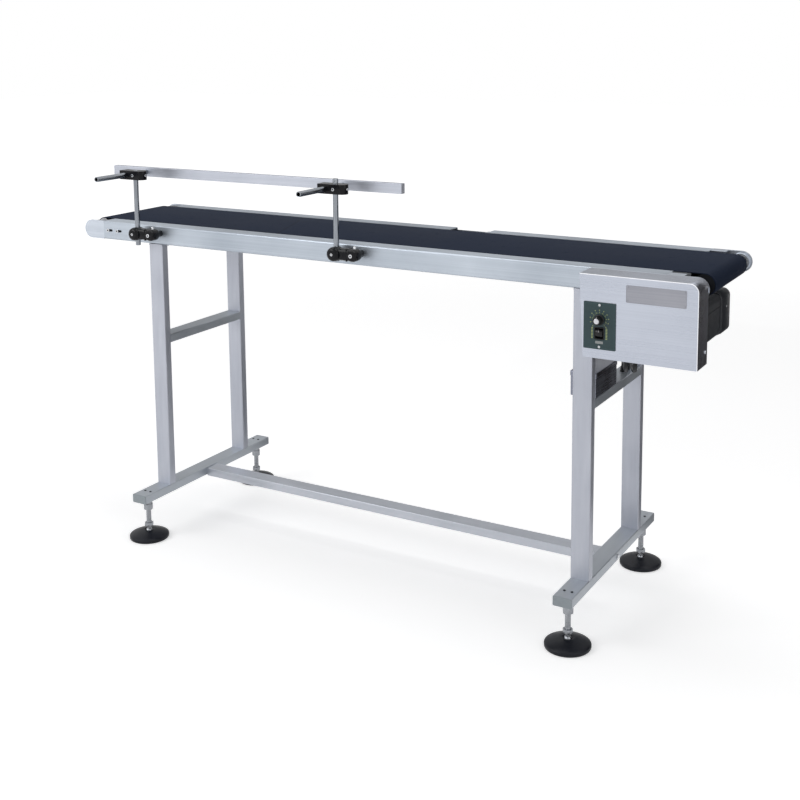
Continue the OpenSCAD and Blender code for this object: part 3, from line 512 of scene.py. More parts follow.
def screws(name, heads, body, *stands_for, plain=(), material=bright_steel):
    """Piece of recessed screw heads and plain turned parts, with the recesses' floors painted dark as shade."""
    piece(
        name, [head for head, _ in heads] + list(plain), material, body, "fastener_steel", *stands_for,
        painted_shade=[floor for _, floor in heads], painted_shade_material=painted_recess_shade,
    )


leg_bolt_apart, foot_screw_apart = 0.011, 0.008
stretcher_bolt_y, stretcher_bolt_z = 0.018, 0.104
frame_heads, foot_screws = [], []
for side in ("left", "right"):
    leg_low, leg_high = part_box(f"upright_{side}_front")
    back_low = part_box(f"upright_{side}_back")[0]
    leg_x = (leg_low[0] + leg_high[0]) / 2
    for plate_y in (leg_high[1] - 0.007, back_low[1] + 0.007):
        for shift in (-leg_bolt_apart, leg_bolt_apart):
            for lift, height in ((-0.008, 0.004), (0.002, 0.0035)):
                frame_heads.append(hex_head((leg_x + shift, plate_y, leg_high[2] + lift), up, 0.005, height))
    foot_screws += [
        screw_head(
            (leg_x + shift, feet[side, depth][1], leg_low[2]), up, 0.0028, 0.0010, cross_slot, 0.0007
        )
        for depth in ("front", "back") for shift in (-foot_screw_apart, foot_screw_apart)
    ]
    outward = -1.0 if side == "left" else 1.0
    frame_heads.append(hex_head(
        (leg_x + outward * 0.020, stretcher_bolt_y, stretcher_bolt_z), (outward, 0, 0), 0.005, 0.004
    ))
piece("frame_bolts_chamfered", frame_heads, bright_steel, "frame", "fastener_steel", "frame_bolts")
screws("base_bar_screws", foot_screws, "frame", material=finish_of(
    "blackened screw steel", (0.030, 0.034, 0.042), (0.060, 0.066, 0.076), 0.40, metallic=0.8
))


# ---- Side rails and bed ----
# Two channels folded from 2 mm stainless sheet, brushed along their length, with the web
# outwards. A zinc-plated pan on four cross members carries the belt between them.
rail_steel = finish_of(
    "brushed rail steel", (0.28, 0.315, 0.365), (0.50, 0.545, 0.60), 0.40, (1.2, 420.0, 420.0), 1.0, 3.2,
    grain_share=0.3,
)
plated_steel = finish_of(
    "zinc-plated steel", (0.34, 0.35, 0.37), (0.46, 0.47, 0.49), 0.40, (14.0, 14.0, 14.0), 1.0, 12.0
)
for rail in ("side_rail_front", "side_rail_back"):
    dress(rail, rail_steel, 0.0003)
dress("bed_pan", plated_steel)
dress("cross_members", plated_steel, 0.0003)


# ---- Tail end ----
# Flat stainless end plates with a round nose. The roller's axle sits in two blocks that two
# cap screws a side pull back in slots, to tighten the belt.
nose_steel = finish_of(
    "satin nose steel", (0.44, 0.48, 0.54), (0.56, 0.60, 0.66), 0.38, (2.0, 260.0, 260.0), 1.0, 9.0
)
for side in ("front", "back"):
    dress(f"tail_plate_{side}", nose_steel, 0.0006)
dress("tail_roller", plated_steel, 0.0004)
dress("tail_axle", bright_steel)
dress("take_up_blocks", finish_of(
    "dark block steel", (0.07, 0.075, 0.085), (0.12, 0.125, 0.135), 0.45, (30.0, 30.0, 30.0), 0.8, 14.0
), 0.0006)
take_up_heads, take_up_shanks = [], []
take_low, take_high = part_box("take_up_screws")
take_z = (take_low[2] + take_high[2]) / 2
cap_radius, cap_height = 0.00425, 0.003
for screw_x in (take_low[0] + cap_radius, take_high[0] - cap_radius):
    for screw_y, outward in ((take_low[1] + cap_height, -1.0), (take_high[1] - cap_height, 1.0)):
        place = (screw_x, screw_y, take_z)
        take_up_heads.append(
            screw_head(place, (0, outward, 0), cap_radius, cap_height, hex_socket, 0.0018)
        )
        take_up_shanks.append(turned((0.0024, 0.0024), (-0.010, 0.0002), place, (0, outward, 0)))
screws("take_up_cap_screws", take_up_heads, "take_up", "take_up_screws", plain=take_up_shanks)


# ---- Drive end ----
# The drum is lagged with black rubber and turns in ball bearings in the drive plates. A toothed
# belt on two aluminium pulleys drives it from the gear motor below.
for side in ("front", "back"):
    dress(f"drive_plate_{side}", nose_steel, 0.0006)
dress("drive_mount_plate", plated_steel, 0.0005)
dress("drum_bearings", bright_steel, 0.0004)
dress("output_shaft", bright_steel, 0.0004)
dress("drive_drum", finish_of(
    "drum lagging rubber", (0.006, 0.007, 0.009), (0.014, 0.015, 0.018), 0.62,
    (40.0, 300.0, 40.0), 0.0, 30.0, 0.0002, 0.5, 0.10,
), 0.0005)
pulley_metal = finish_of(
    "turned aluminium", (0.52, 0.53, 0.55), (0.68, 0.69, 0.71), 0.30, (400.0, 60.0, 400.0), 1.0, 20.0
)
dress("drum_pulley", pulley_metal)
dress("motor_pulley", pulley_metal)
dress("timing_belt", finish_of(
    "black timing belt", (0.010, 0.010, 0.012), (0.022, 0.022, 0.025), 0.58,
    (200.0, 30.0, 200.0), 0.0, 20.0, 0.0001,
))


# ---- Belt ----
# One endless loop of 2 mm navy-black rubber-faced fabric with rounded edges, joined by a long
# skewed splice. The pan carries it; it runs round the drum and the tail roller.
def rounded_outline(width, depth, radius, steps=6):
    """Rectangle about the origin with round corners: four quarter circles joined by straight sides."""
    turn = (np.linspace(0.0, np.pi / 2, steps)[None] + np.arange(4)[:, None] * np.pi / 2).ravel()
    middle_x = np.repeat(np.array([1, -1, -1, 1]) * (width / 2 - radius), steps)
    middle_y = np.repeat(np.array([1, 1, -1, -1]) * (depth / 2 - radius), steps)
    return np.stack([middle_x + radius * np.cos(turn), middle_y + radius * np.sin(turn)], axis=-1)


def belt_loop(low, high, thickness, edge, nose_steps=28, run_steps=60):
    """Belt section carried round a loop: the path runs straight on top, round the drum, straight below
    and round the roller; point(u, v) = path(u) + depth(v) along the path's normal, and width(v) across."""
    nose = (high[2] - low[2]) / 2
    middle = nose - thickness / 2
    centre_z = low[2] + nose
    left, right = low[0] + nose, high[0] - nose
    run = np.linspace(0.0, 1.0, run_steps, endpoint=False)
    bend = np.linspace(0.0, np.pi, nose_steps, endpoint=False)
    path_x = np.concatenate([
        left + (right - left) * run, right + middle * np.sin(bend),
        right + (left - right) * run, left - middle * np.sin(bend),
    ])
    path_z = np.concatenate([
        np.full(run_steps, middle), middle * np.cos(bend),
        np.full(run_steps, -middle), -middle * np.cos(bend),
    ])
    normal_x = np.concatenate([np.zeros(run_steps), np.sin(bend), np.zeros(run_steps), -np.sin(bend)])
    normal_z = np.concatenate([np.ones(run_steps), np.cos(bend), -np.ones(run_steps), -np.cos(bend)])
    half = (high[1] - low[1]) / 2
    section = rounded_outline(2 * half, thickness, edge)
    wide = section[:, 0] + (low[1] + high[1]) / 2
    rings = np.stack([
        path_x[:, None] + normal_x[:, None] * section[None, :, 1],
        np.broadcast_to(wide[None], (len(path_x), len(wide))),
        centre_z + path_z[:, None] + normal_z[:, None] * section[None, :, 1],
    ], axis=-1)
    return skinned(rings, hoop=True)


def belt_material():
    """Matt rubber with a fine woven relief and a thin skewed splice line."""
    material = finish_of(
        "navy-black belt rubber", (0.0085, 0.0130, 0.0260), (0.0150, 0.0215, 0.0400), 0.66,
        (900.0, 900.0, 900.0), 0.0, 3.0, 0.00012, 0.35, 0.05,
    )
    nodes, links = material.node_tree.nodes, material.node_tree.links
    shader = nodes["Principled BSDF"]
    place = nodes.new("ShaderNodeTexCoord")
    skew = nodes.new("ShaderNodeVectorMath")
    skew.operation = "DOT_PRODUCT"
    skew.inputs[1].default_value = (1.0, 0.36, 0.0)
    links.new(place.outputs["Object"], skew.inputs[0])
    splice_at, splice_half = -0.26, 0.0008
    splice = maths(nodes, links, "COMPARE", skew.outputs["Value"], splice_at, splice_half)
    colour = shader.inputs["Base Color"].links[0].from_socket
    links.new(tinted(nodes, links, splice, colour, (0.004, 0.005, 0.008)), shader.inputs["Base Color"])
    return material


belt_low, belt_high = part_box("belt")
belt = piece(
    "belt_loop", [belt_loop(belt_low, belt_high, 0.002, 0.0007)], belt_material(), "frame", "belt", "belt",
)
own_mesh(belt)


# ---- Gear motor ----
# Square 90 mm gear motor in dark grey-green enamel over cast aluminium: gearbox, ribbed motor
# body and a flared end bell with a fan grille. Long screws run down its corners.
facing_axes = {
    "up": np.array([(1, 0, 0), (0, 1, 0), (0, 0, 1)], dtype=float),
    "down": np.array([(1, 0, 0), (0, -1, 0), (0, 0, -1)], dtype=float),
    "front": np.array([(1, 0, 0), (0, 0, 1), (0, -1, 0)], dtype=float),
    "back": np.array([(-1, 0, 0), (0, 0, 1), (0, 1, 0)], dtype=float),
    "away": np.array([(1, 0, 0), (0, 0, -1), (0, 1, 0)], dtype=float),
    "right": np.array([(0, 1, 0), (0, 0, 1), (1, 0, 0)], dtype=float),
}


def block(width, depth, radius, profile, centre, facing="up", hoop=False, steps=6):
    """Rounded outline carried along its normal: each (inset, height) of the profile is one ring, the
    outline drawn in by the inset, at that height."""
    flat = np.stack([
        rounded_outline(width - 2 * inset, depth - 2 * inset, max(radius - inset, 0.0002), steps)
        for inset, _ in profile
    ])
    heights = np.array([height for _, height in profile])
    local = np.concatenate([flat, np.broadcast_to(heights[:, None, None], (*flat.shape[:2], 1))], axis=-1)
    return skinned(np.array(centre) + local @ facing_axes[facing], hoop)


def spokes(centre, facing, angles, inner, outer, half_width, thickness):
    """Flat bars that point away from a centre: box corners = centre + along · radial + across · tangent."""
    angles = np.array(angles, dtype=float)
    radial = np.stack([np.sin(angles), np.cos(angles), 0 * angles], axis=-1)
    tangent = np.stack([np.cos(angles), -np.sin(angles), 0 * angles], axis=-1)
    reach = np.array([inner, outer, outer, inner] * 2)
    aside = np.array([-1, -1, 1, 1] * 2) * half_width
    lift = np.array([0.0] * 4 + [thickness] * 4)
    local = radial[:, None] * reach[None, :, None] + tangent[:, None] * aside[None, :, None]
    local[..., 2] += lift
    sides = np.array([
        (0, 1, 2, 3), (7, 6, 5, 4), (0, 4, 5, 1), (1, 5, 6, 2), (2, 6, 7, 3), (3, 7, 4, 0)
    ])
    faces = (sides[None] + 8 * np.arange(len(angles))[:, None, None]).reshape(-1, 4).tolist()
    return (np.array(centre) + local @ facing_axes[facing]).reshape(-1, 3), faces


motor_enamel = finish_of(
    "grey-green enamel", (0.0190, 0.0215, 0.0270), (0.0340, 0.0380, 0.0440), 0.38,
    (170.0, 170.0, 170.0), 0.1, 18.0, 0.00018, 0.5, 0.30,
)
gear_low, gear_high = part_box("gearbox")
body_low, body_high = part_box("motor_body")
bell_low, bell_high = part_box("motor_end_bell")
motor_x, _, motor_z = middle_of("gearbox")
motor_corner, motor_width, tube_width = 0.014, 0.090, 0.088
gear_length = gear_high[1] - gear_low[1]
body_length = body_high[1] - body_low[1]
bell_length = bell_high[1] - bell_low[1]
corners = [(motor_x + dx, motor_z + dz) for dx in (-0.036, 0.036) for dz in (-0.036, 0.036)]
piece(
    "gearbox_casting",
    [
        block(motor_width, motor_width, motor_corner, [
            (0.0012, 0.0), (0.0, 0.0012), (0.0, 0.0090), (0.0010, 0.0100), (0.0016, 0.0112),
            (0.0016, 0.030),
            (0.0030, 0.0312), (0.0030, 0.0328), (0.0016, 0.0340), (0.0016, gear_length - 0.009),
            (0.0, gear_length - 0.0075), (0.0, gear_length - 0.0008), (0.0008, gear_length),
        ], (motor_x, gear_low[1], motor_z), "back", steps=10),
    ],
    motor_enamel, "frame", "motor_paint", "gearbox",
)
body_rings = [(0.0008, 0.0), (0.0, 0.0010), (0.0, 0.0060), (0.0014, 0.0072)]
body_rings += [(inset, body_length - height) for inset, height in reversed(body_rings)]
piece(
    "motor_body_tube",
    [
        block(
            tube_width, tube_width, motor_corner, body_rings, (motor_x, body_low[1], motor_z), "back", steps=10
        ),
        block(body_length - 0.020, 0.0024, 0.0011, [(0.0, 0.0), (0.0, 0.0005), (0.0004, 0.0008)],
              (motor_x + 0.0425, (body_low[1] + body_high[1]) / 2, motor_z + 0.018), "right"),
    ],
    motor_enamel, "frame", "motor_paint", "motor_body",
)
bell_face = (motor_x, bell_high[1], motor_z)
bell_screws = [
    screw_head((x, bell_high[1] - 0.0006, z), (0, 1, 0), 0.0036, 0.0014, cross_slot, 0.0010) for x, z in corners
]
side_screw = screw_head(
    (bell_high[0] - 0.0004, bell_low[1] + 0.026, motor_z + 0.012), (1, 0, 0), 0.0028, 0.0011,
    cross_slot, 0.0008,
)
piece(
    "motor_end_bell_casting",
    [
        block(motor_width, motor_width, motor_corner, [
            (0.0010, 0.0), (0.0010, 0.0060), (0.0, 0.0085), (0.0, bell_length - 0.0040),
            (0.0012, bell_length - 0.0012),
            (0.0040, bell_length), (0.0105, bell_length), (0.0112, bell_length - 0.0020),
        ], (motor_x, bell_low[1], motor_z), "back", steps=10),
        *[turned((r - 0.0011, r + 0.0011, r + 0.0011, r - 0.0011), (-0.0014, -0.0014, -0.0002, -0.0002),
                 bell_face, (0, 1, 0), 64, True) for r in (0.0305, 0.0245, 0.0185, 0.0125)],
        spokes(
            (motor_x, bell_high[1] - 0.0016, motor_z), "back", around(8) + 0.39, 0.006, 0.0325, 0.0013, 0.0013
        ),
        turned((0.0075, 0.0075, 0.0066, 0.0040), (-0.0018, -0.0004, 0.0, 0.0), bell_face, (0, 1, 0)),
    ],
    motor_enamel, "frame", "motor_paint", "motor_end_bell",
    # Painted shade: a dark disc just behind the fan grille stands in for the shade inside the bell.
    painted_shade=[turned((0.033, 0.033), (-0.0021, -0.0019), bell_face, (0, 1, 0), 64)],
    painted_shade_material=painted_recess_shade,
)
screws("motor_bell_screws", [*bell_screws, side_screw], "frame")
bolt_low, bolt_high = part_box("motor_bolts")
bolt_radius, bolt_head = 0.005, 0.004
bolt_heads = [
    screw_head((x, bolt_low[1] + bolt_head, z), (0, -1, 0), bolt_radius, bolt_head, hex_socket, 0.0022)
    for x in (bolt_low[0] + bolt_radius, bolt_high[0] - bolt_radius)
    for z in (bolt_low[2] + bolt_radius, bolt_high[2] - bolt_radius)
]
screws("motor_cap_bolts", bolt_heads, "frame", "motor_bolts")


# ---- Drive cover ----
# A box folded from 1.5 mm stainless and brushed along the conveyor, over the toothed belt. One
# pan-head screw low on its right side holds it, and a plain plate is riveted on its front.
cover_steel = finish_of(
    "brushed cover steel", (0.385, 0.41, 0.475), (0.50, 0.53, 0.60), 0.27, (1.6, 700.0, 700.0), 1.0, 5.0
)
cover_low, cover_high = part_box("drive_cover")
cover_corner, fold_width = 0.017, 0.0017


def paint_fold_highlight(material, right, top, front):
    """Painted highlight: brightens a band along the front's top and right folds, where the bends catch the light:
    where the distance from the corner's centre, counted to the right and upwards only, is within a fold's width of
    the corner radius."""
    nodes, links = material.node_tree.nodes, material.node_tree.links
    shader = nodes["Principled BSDF"]
    place = nodes.new("ShaderNodeTexCoord")
    source = place.outputs["Object"]
    for operation, value in (
        ("SUBTRACT", (right - cover_corner, 0.0, top - cover_corner)), ("MULTIPLY", (1.0, 0.0, 1.0)),
        ("MAXIMUM", (0.0, 0.0, 0.0)),
    ):
        step = nodes.new("ShaderNodeVectorMath")
        step.operation = operation
        step.inputs[1].default_value = value
        links.new(source, step.inputs[0])
        source = step.outputs[0]
    reach = nodes.new("ShaderNodeVectorMath")
    reach.operation = "LENGTH"
    links.new(source, reach.inputs[0])
    corner = spread(
        nodes, links, reach.outputs["Value"], (cover_corner - fold_width, cover_corner - 0.4 * fold_width)
    )
    axes = nodes.new("ShaderNodeSeparateXYZ")
    links.new(place.outputs["Object"], axes.inputs[0])
    near_front = spread(nodes, links, axes.outputs["Y"], (front + fold_width, front + 0.4 * fold_width))
    band = maths(nodes, links, "MULTIPLY", corner, near_front)
    plain = shader.inputs["Base Color"].links[0].from_socket
    links.new(tinted(nodes, links, band, plain, (0.90, 0.91, 0.94)), shader.inputs["Base Color"])


# Painted highlight along the cover's top and right folds.
paint_fold_highlight(cover_steel, cover_high[0], cover_high[2], cover_low[1])
dress("drive_cover", cover_steel, 0.0007)
screw_low, screw_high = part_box("cover_screws")
panel_low, panel_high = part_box("control_plate")
panel_x, _, panel_z = middle_of("control_plate")
cover_heads = [
    screw_head(
        (cover_high[0], screw_high[1] - 0.003, screw_low[2] + 0.0042), (1, 0, 0), 0.0030, 0.0016,
        cross_slot, 0.0011,
    )
]
cover_heads += [
    screw_head((panel_x, panel_low[1] + 0.0002, z), (0, -1, 0), 0.0024, 0.0011, straight_slot, 0.0009)
    for z in (panel_low[2] + 0.005, panel_high[2] - 0.005)
]
screws("cover_pan_screws", cover_heads, "frame", "cover_screws")
plate_low, plate_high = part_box("name_plate")
plate_middle = ((plate_low[0] + plate_high[0]) / 2, plate_high[1], (plate_low[2] + plate_high[2]) / 2)
plate_size = plate_high[0] - plate_low[0], plate_high[2] - plate_low[2]
rivets = [
    turned(
        (0.0013, 0.0013, 0.0011, 0.0006), (0.0005, 0.0008, 0.0012, 0.0014),
        (plate_middle[0] + dx, plate_high[1], plate_middle[2] + dz), (0, -1, 0), 20,
    )
    for dx in (-0.0535, 0.0535) for dz in (-0.0130, 0.0130)
]
piece(
    "name_plate_blank",
    [
        block(*plate_size, 0.002, [
            (0.0, 0.0), (0.0, 0.0005), (0.0003, 0.0008), (0.0011, 0.0008), (0.0013, 0.0005)
        ], plate_middle, "front"),
        *rivets,
    ],
    finish_of(
        "satin aluminium plate", (0.27, 0.275, 0.31), (0.35, 0.355, 0.39), 0.32, (3.0, 500.0, 500.0), 0.9, 12.0
    ),
    "frame", "name_plate", "name_plate",
)


# ---- Speed control ----
# Dark teal printed plate over a moulded controller. A fluted knob with a silver cap sets the
# speed against a ring of printed ticks; below it a rocker switch sits in a raised bezel.
dress("control_plate", finish_of(
    "dark teal plate", (0.014, 0.040, 0.046), (0.020, 0.052, 0.058), 0.38,
    (500.0, 500.0, 500.0), 0.1, 25.0, 0.00003,
), 0.0004)
black_plastic = finish_of(
    "black moulded plastic", (0.0050, 0.0050, 0.0062), (0.0110, 0.0110, 0.0130), 0.32,
    (350.0, 350.0, 350.0), 0.0, 30.0, 0.00004, 0.5, 0.30,
)
dress("controller_case", black_plastic, 0.0005)
dress("rocker_switch", black_plastic, 0.0003)
rocker_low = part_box("rocker_switch")[0]
rocker_z = middle_of("rocker_switch")[2]
piece(
    "rocker_bezel",
    [block(0.0200, 0.0240, 0.0022, [
        (0.0, 0.0), (0.0, 0.0010), (0.0006, 0.0018), (0.0016, 0.0018), (0.0021, 0.0012), (0.0021, 0.0)
    ], (panel_x, panel_low[1] + 0.0001, rocker_z), "front", hoop=True)],
    black_plastic, "frame", "switch_plastic",
)
piece(
    "rocker_marks",
    [spokes(
        (panel_x, rocker_low[1] + 0.00045, rocker_z + 0.0042), "front", [0.0], -0.0018, 0.0018, 0.0003, 0.0001
    )],
    finish_of("white print", (0.62, 0.62, 0.62), (0.70, 0.70, 0.70), 0.5), "rocker", "switch_plastic",
)
knob_middle = middle_of("speed_knob")
knob_middle[1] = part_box("speed_knob")[1][1] - 0.008
knob_sides, knob_flutes = 192, 24
flutes = 1.0 - 0.045 * (0.5 + 0.5 * np.cos(knob_flutes * around(knob_sides)))
knob_rings = np.vstack([
    np.full((4, knob_sides), 1.0) * np.array([0.0096, 0.0100, 0.0100, 0.0094])[:, None],
    flutes[None] * np.array([0.0086, 0.0084, 0.0082, 0.0080])[:, None],
    np.full((2, knob_sides), 1.0) * np.array([0.0074, 0.0066])[:, None],
])
piece(
    "speed_knob_moulded",
    [
        turned(knob_rings, (0.0, 0.0005, 0.0022, 0.0030, 0.0034, 0.0080, 0.0128, 0.0148, 0.0157, 0.0160),
               knob_middle, (0, -1, 0), knob_sides),
        turned((0.0029, 0.0029), (-0.0078, 0.0002), knob_middle, (0, -1, 0), 32),
    ],
    black_plastic, "speed_knob", "switch_plastic", "speed_knob",
)
piece(
    "speed_knob_cap",
    [turned((0.0050, 0.0050, 0.0046, 0.0024), (0.0158, 0.0162, 0.0164, 0.01645), knob_middle, (0, -1, 0))],
    bright_steel, "speed_knob", "fastener_steel",
)
piece(
    "speed_knob_pointer",
    [spokes(knob_middle + [0.0, -0.0155, 0.0], "front", [0.0], 0.0046, 0.0076, 0.0005, 0.0011)],
    finish_of("white print, pointer", (0.62, 0.62, 0.62), (0.72, 0.72, 0.72), 0.5), "speed_knob", "switch_plastic",
)
dial_print = finish_of("yellow-green print", (0.36, 0.42, 0.16), (0.48, 0.55, 0.24), 0.5)
panel_face = panel_low[1]
dial_middle = (panel_x, panel_face, knob_middle[2])
ladder_z = rocker_z + np.linspace(-0.0098, 0.0098, 8)
ticks, ink = np.radians(np.linspace(-135, 135, 11)), 0.0001
piece(
    "dial_marks",
    [
        spokes(dial_middle, "front", ticks, 0.0122, 0.0152, 0.00040, ink),
        spokes(dial_middle, "front", (ticks[1:] + ticks[:-1]) / 2, 0.0122, 0.0138, 0.00022, ink),
        spokes(dial_middle, "front", ticks, 0.0176, 0.0192, 0.00080, ink),
        *[
            spokes((panel_x + aside, panel_face, z), "front", [math.pi / 2], -0.0017, 0.0017, 0.0007, ink)
            for aside in (-0.0142, 0.0142) for z in ladder_z
        ],
    ],
    dial_print, "frame", "control_plate",
)
piece(
    "panel_border",
    [block(0.0580, 0.0850, 0.0012, [(0.0, 0.0), (0.0, ink), (0.0004, ink), (0.0004, 0.0)],
           (panel_x, panel_face, panel_z), "front", hoop=True)],
    finish_of("pale teal print", (0.035, 0.080, 0.088), (0.050, 0.105, 0.112), 0.5), "frame", "control_plate",
)
piece(
    "panel_label",
    [block(
        0.0150, 0.0050, 0.0006, [(0.0, 0.0), (0.0, ink)], (panel_x, panel_face, rocker_z - 0.0175), "front"
    )],
    finish_of("grey label", (0.30, 0.32, 0.32), (0.36, 0.38, 0.38), 0.5), "frame", "control_plate",
)


# ---- Supply box and leads ----
# Folded steel box on the right cross bar, with a lid held by a strap and two screws. Two black
# leads run from the drive cover down to glands in the bar.
box_low, box_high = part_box("supply_box")
box_size = np.array(box_high) - np.array(box_low)
box_middle = middle_of("supply_box")
box_top = (box_middle[0], box_middle[1], box_low[2])
box_heads = [
    screw_head((x, box_low[1], box_high[2] - 0.012), (0, -1, 0), 0.0026, 0.0011, cross_slot, 0.0008)
    for x in (box_low[0] + 0.010, box_high[0] - 0.014)
]
piece(
    "supply_box_folded",
    [
        block(box_size[0] - 0.002, box_size[1] - 0.002, 0.0016, [
            (0.0004, 0.0), (0.0, 0.0004), (0.0, box_size[2] - 0.0085),
        ], box_top),
        block(box_size[0], box_size[1], 0.0022, [
            (0.0003, box_size[2] - 0.010), (0.0, box_size[2] - 0.0097), (0.0, box_size[2] - 0.0016),
            (0.0005, box_size[2] - 0.0004), (0.0016, box_size[2]),
        ], box_top),
    ],
    finish_of("satin box steel", (0.15, 0.16, 0.205), (0.30, 0.315, 0.37), 0.26, (8.0, 8.0, 300.0), 1.0, 14.0),
    "frame", "stainless", "supply_box",
)
piece(
    "supply_box_strap",
    [block(0.0090, box_size[2] - 0.002, 0.0005, [(0.0, 0.0), (0.0, 0.0010), (0.0004, 0.0013)],
           (box_high[0] - 0.006, box_low[1] + 0.0002, box_middle[2]), "front")],
    nose_steel, "frame", "stainless",
)
screws("supply_box_screws", box_heads, "frame")


def lead_tube(start, finish, dip, radius, sides=20, steps=60):
    """Round lead along a cubic Bezier curve that leaves both ends straight: point(u, v) = curve(u) plus the
    radius times cos v and sin v along two directions square to it."""
    handles = np.array([start, start - [0, 0, dip], finish + [0, 0, dip], finish])
    t = np.linspace(0.0, 1.0, steps)[:, None]
    back = 1 - t
    curve = (
        back ** 3 * handles[0] + 3 * t * back ** 2 * handles[1]
        + 3 * t ** 2 * back * handles[2] + t ** 3 * handles[3]
    )
    steps_between = np.diff(handles, axis=0)
    slope = back ** 2 * steps_between[0] + 2 * t * back * steps_between[1] + t ** 2 * steps_between[2]
    slope /= np.linalg.norm(slope, axis=1, keepdims=True)
    guide = finish - start + np.array([0.4, 0.0, 0.0])
    aside = np.cross(slope, guide)
    aside /= np.linalg.norm(aside, axis=1, keepdims=True)
    other = np.cross(slope, aside)
    turn = around(sides)[None, :, None]
    rings = curve[:, None] + radius * (np.cos(turn) * aside[:, None] + np.sin(turn) * other[:, None])
    return skinned(rings)


gland_low, gland_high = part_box("cable_glands")
gland_height, gland_radius = 0.012, 0.007
upper_z, lower_z = gland_high[2] - gland_height, gland_low[2] + gland_height
leads, glands = [], []
ribbed = np.array([0.0070, 0.0070, 0.0062, 0.0062, 0.0066, 0.0066, 0.0058, 0.0058, 0.0060, 0.0060, 0.0050])
rib_z = np.array([0.0, 0.0026, 0.0030, 0.0040, 0.0044, 0.0062, 0.0066, 0.0076, 0.0080, 0.0100, 0.0120])
for start_inset, finish_inset in ((0.018, 0.022), (0.0, 0.0)):
    start = np.array([gland_high[0] - gland_radius - start_inset, gland_low[1] + gland_radius, upper_z])
    finish = np.array([gland_low[0] + gland_radius, gland_high[1] - gland_radius - finish_inset, lower_z])
    leads.append(lead_tube(start, finish, 0.055, 0.004))
    glands.append(turned(ribbed, rib_z, start + [0, 0, gland_height], (0, 0, -1)))
    glands.append(turned(ribbed, rib_z, finish - [0, 0, gland_height], up))
piece(
    "drive_leads_sheathed", leads,
    finish_of(
        "black lead sheath", (0.0040, 0.0042, 0.0055), (0.0090, 0.0095, 0.0115), 0.42,
        (400.0, 400.0, 60.0), 0.0, 30.0, gloss=0.25,
    ),
    "frame", "lead_jacket", "drive_leads",
)
piece("cable_glands_ribbed", glands, black_plastic, "frame", "clamp_plastic", "cable_glands")


# ---- Guide rail ----
# Moulded black clamps on the front rail hold two upright rods. Cross clamps on those carry two
# reach rods, and they carry one brushed flat bar that steers goods along the belt.
clamp_black = finish_of(
    "glossy clamp plastic", (0.0025, 0.0028, 0.0042), (0.0065, 0.0070, 0.0095), 0.22,
    (300.0, 300.0, 300.0), 0.0, 30.0, 0.00006, 0.5, 0.18,
)
dress("upper_clamps", clamp_black, 0.0014)
rod_steel = finish_of(
    "ground rod steel", (0.20, 0.215, 0.24), (0.33, 0.35, 0.38), 0.20, (500.0, 40.0, 40.0), 1.0, 20.0
)
post_low, post_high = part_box("guide_posts")
rod_radius, post_length = 0.006, 0.178
post_middles = [
    np.array([post_low[0] + rod_radius, post_low[1] + rod_radius, post_low[2]]),
    np.array([post_high[0] - rod_radius, post_low[1] + rod_radius, post_high[2] - post_length]),
]
clamp_z, clamp_front, lobe_apart = 0.733, 0.020, 0.046
lobes = []
for middle in post_middles:
    front = np.array([middle[0], middle[1] - clamp_front, clamp_z])
    lobes.append(turned(
        (0.0085, 0.0120, 0.0144, 0.0155, 0.0155, 0.0144, 0.0118, 0.0080),
        (0.0, 0.0009, 0.0036, 0.0080, 0.0250, 0.0294, 0.0321, 0.0330), front, (0, 1, 0),
    ))
    lobes.append(turned(
        (0.0080, 0.0112, 0.0128, 0.0135, 0.0135, 0.0125, 0.0104, 0.0090, 0.0085, 0.0085),
        (0.0, 0.0009, 0.0034, 0.0070, 0.0220, 0.0252, 0.0274, 0.0284, 0.0300, 0.0410),
        front + [lobe_apart, 0.004, 0.0], (0, 1, 0),
    ))
    lobes.append(block(0.0440, 0.0260, 0.0100, [
        (0.0060, 0.0), (0.0022, 0.0016), (0.0, 0.0060), (0.0, 0.0180), (0.0022, 0.0224), (0.0060, 0.0240)
    ], front + [0.023, 0.007, 0.0], "away"))
    lobes.append(block(
        0.0012, 0.0266, 0.0003, [(0.0, 0.0), (0.0, 0.0246)], front + [0.032, 0.0067, 0.0], "away"
    ))
piece("lower_clamps_moulded", lobes, clamp_black, "frame", "clamp_plastic", "lower_clamps", crease=40)
piece(
    "guide_posts_ground",
    [
        turned(
            (0.0052, rod_radius, rod_radius, 0.0052), (0.0, 0.0008, post_length - 0.0008, post_length),
            middle, sides=40,
        )
        for middle in post_middles
    ],
    rod_steel, "guide_posts", "rod_steel", "guide_posts",
)
rod_low, rod_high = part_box("guide_rods")
rod_middle_z = middle_of("guide_rods")[2]
rod_x = (rod_low[0] + rod_radius, rod_high[0] - rod_radius)
rod_length = rod_high[1] - rod_low[1]
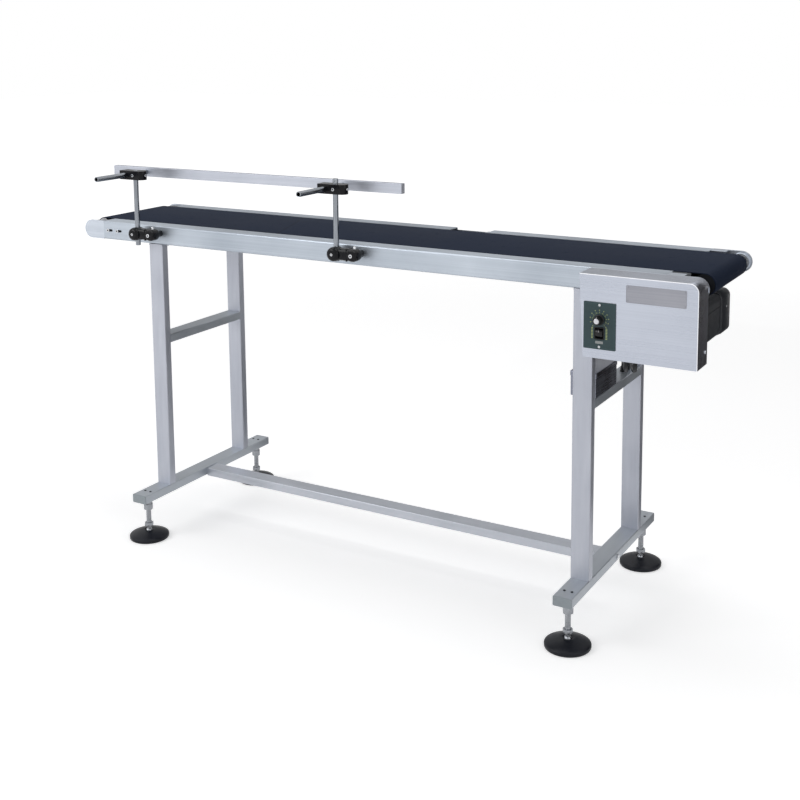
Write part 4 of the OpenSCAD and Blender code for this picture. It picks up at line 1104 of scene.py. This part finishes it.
piece(
    "guide_rods_hollow",
    [
        turned(
            (0.0040, 0.0044, 0.0056, 0.0060, 0.0060, 0.0056, 0.0040),
            (0.030, 0.0003, 0.0, 0.0005, rod_length - 0.0006, rod_length, rod_length),
            (x, rod_low[1], rod_middle_z), (0, 1, 0), 40,
        )
        for x in rod_x
    ],
    rod_steel, "guide", "rod_steel", "guide_rods",
    # Painted shade: a dark disc inside each hollow end stands in for the shade in the bore.
    painted_shade=[
        turned((0.0039, 0.0039), (0.020, 0.0205), (x, rod_low[1], rod_middle_z), (0, 1, 0), 40)
        for x in rod_x
    ],
    painted_shade_material=painted_recess_shade,
)
dress("guide_bar", finish_of(
    "brushed bar steel", (0.36, 0.38, 0.43), (0.50, 0.52, 0.58), 0.38, (2.0, 500.0, 500.0), 1.0, 7.0
), 0.0005)
set_screw_z, bolt_end_y, upper_clamp_z = 0.7455, -0.139, 0.872
clamp_heads, clamp_plain, post_heads = [], [], []
for middle in post_middles:
    second_x = middle[0] + lobe_apart
    lobe_y = middle[1] - clamp_front
    clamp_heads += [
        screw_head((middle[0], lobe_y + 0.0002, clamp_z), (0, -1, 0), 0.0030, 0.0014, hex_socket, 0.0010),
        screw_head((second_x, lobe_y + 0.004, clamp_z), (0, -1, 0), 0.0042, 0.0026, hex_socket, 0.0018),
    ]
    clamp_plain += [
        turned((0.0028, 0.0030, 0.0030, 0.0024), (-0.006, -0.003, 0.0048, 0.0060),
               (second_x, middle[1], set_screw_z), sides=24),
        hex_head((second_x, bolt_end_y, clamp_z), (0, 1, 0), 0.0060, 0.005),
        turned((0.0040, 0.0040, 0.0034), (0.0, 0.0090, 0.0100), (second_x, bolt_end_y, clamp_z), (0, 1, 0), 24),
    ]
    post_heads += [
        screw_head((middle[0] + 0.002, middle[1] - 0.013, upper_clamp_z), (0, -1, 0), 0.0036, 0.0018,
                   hex_socket, 0.0013),
        screw_head((middle[0] + 0.0295, middle[1], upper_clamp_z), (1, 0, 0), 0.0030, 0.0016,
                   hex_socket, 0.0011),
    ]
screws("clamp_bolts_turned", clamp_heads, "frame", "clamp_bolts", plain=clamp_plain)
screws("upper_clamp_screws", post_heads, "guide_posts")


# ---- Close ----
bpy.context.scene.view_settings.view_transform = "Standard"
bpy.context.view_layer.update()
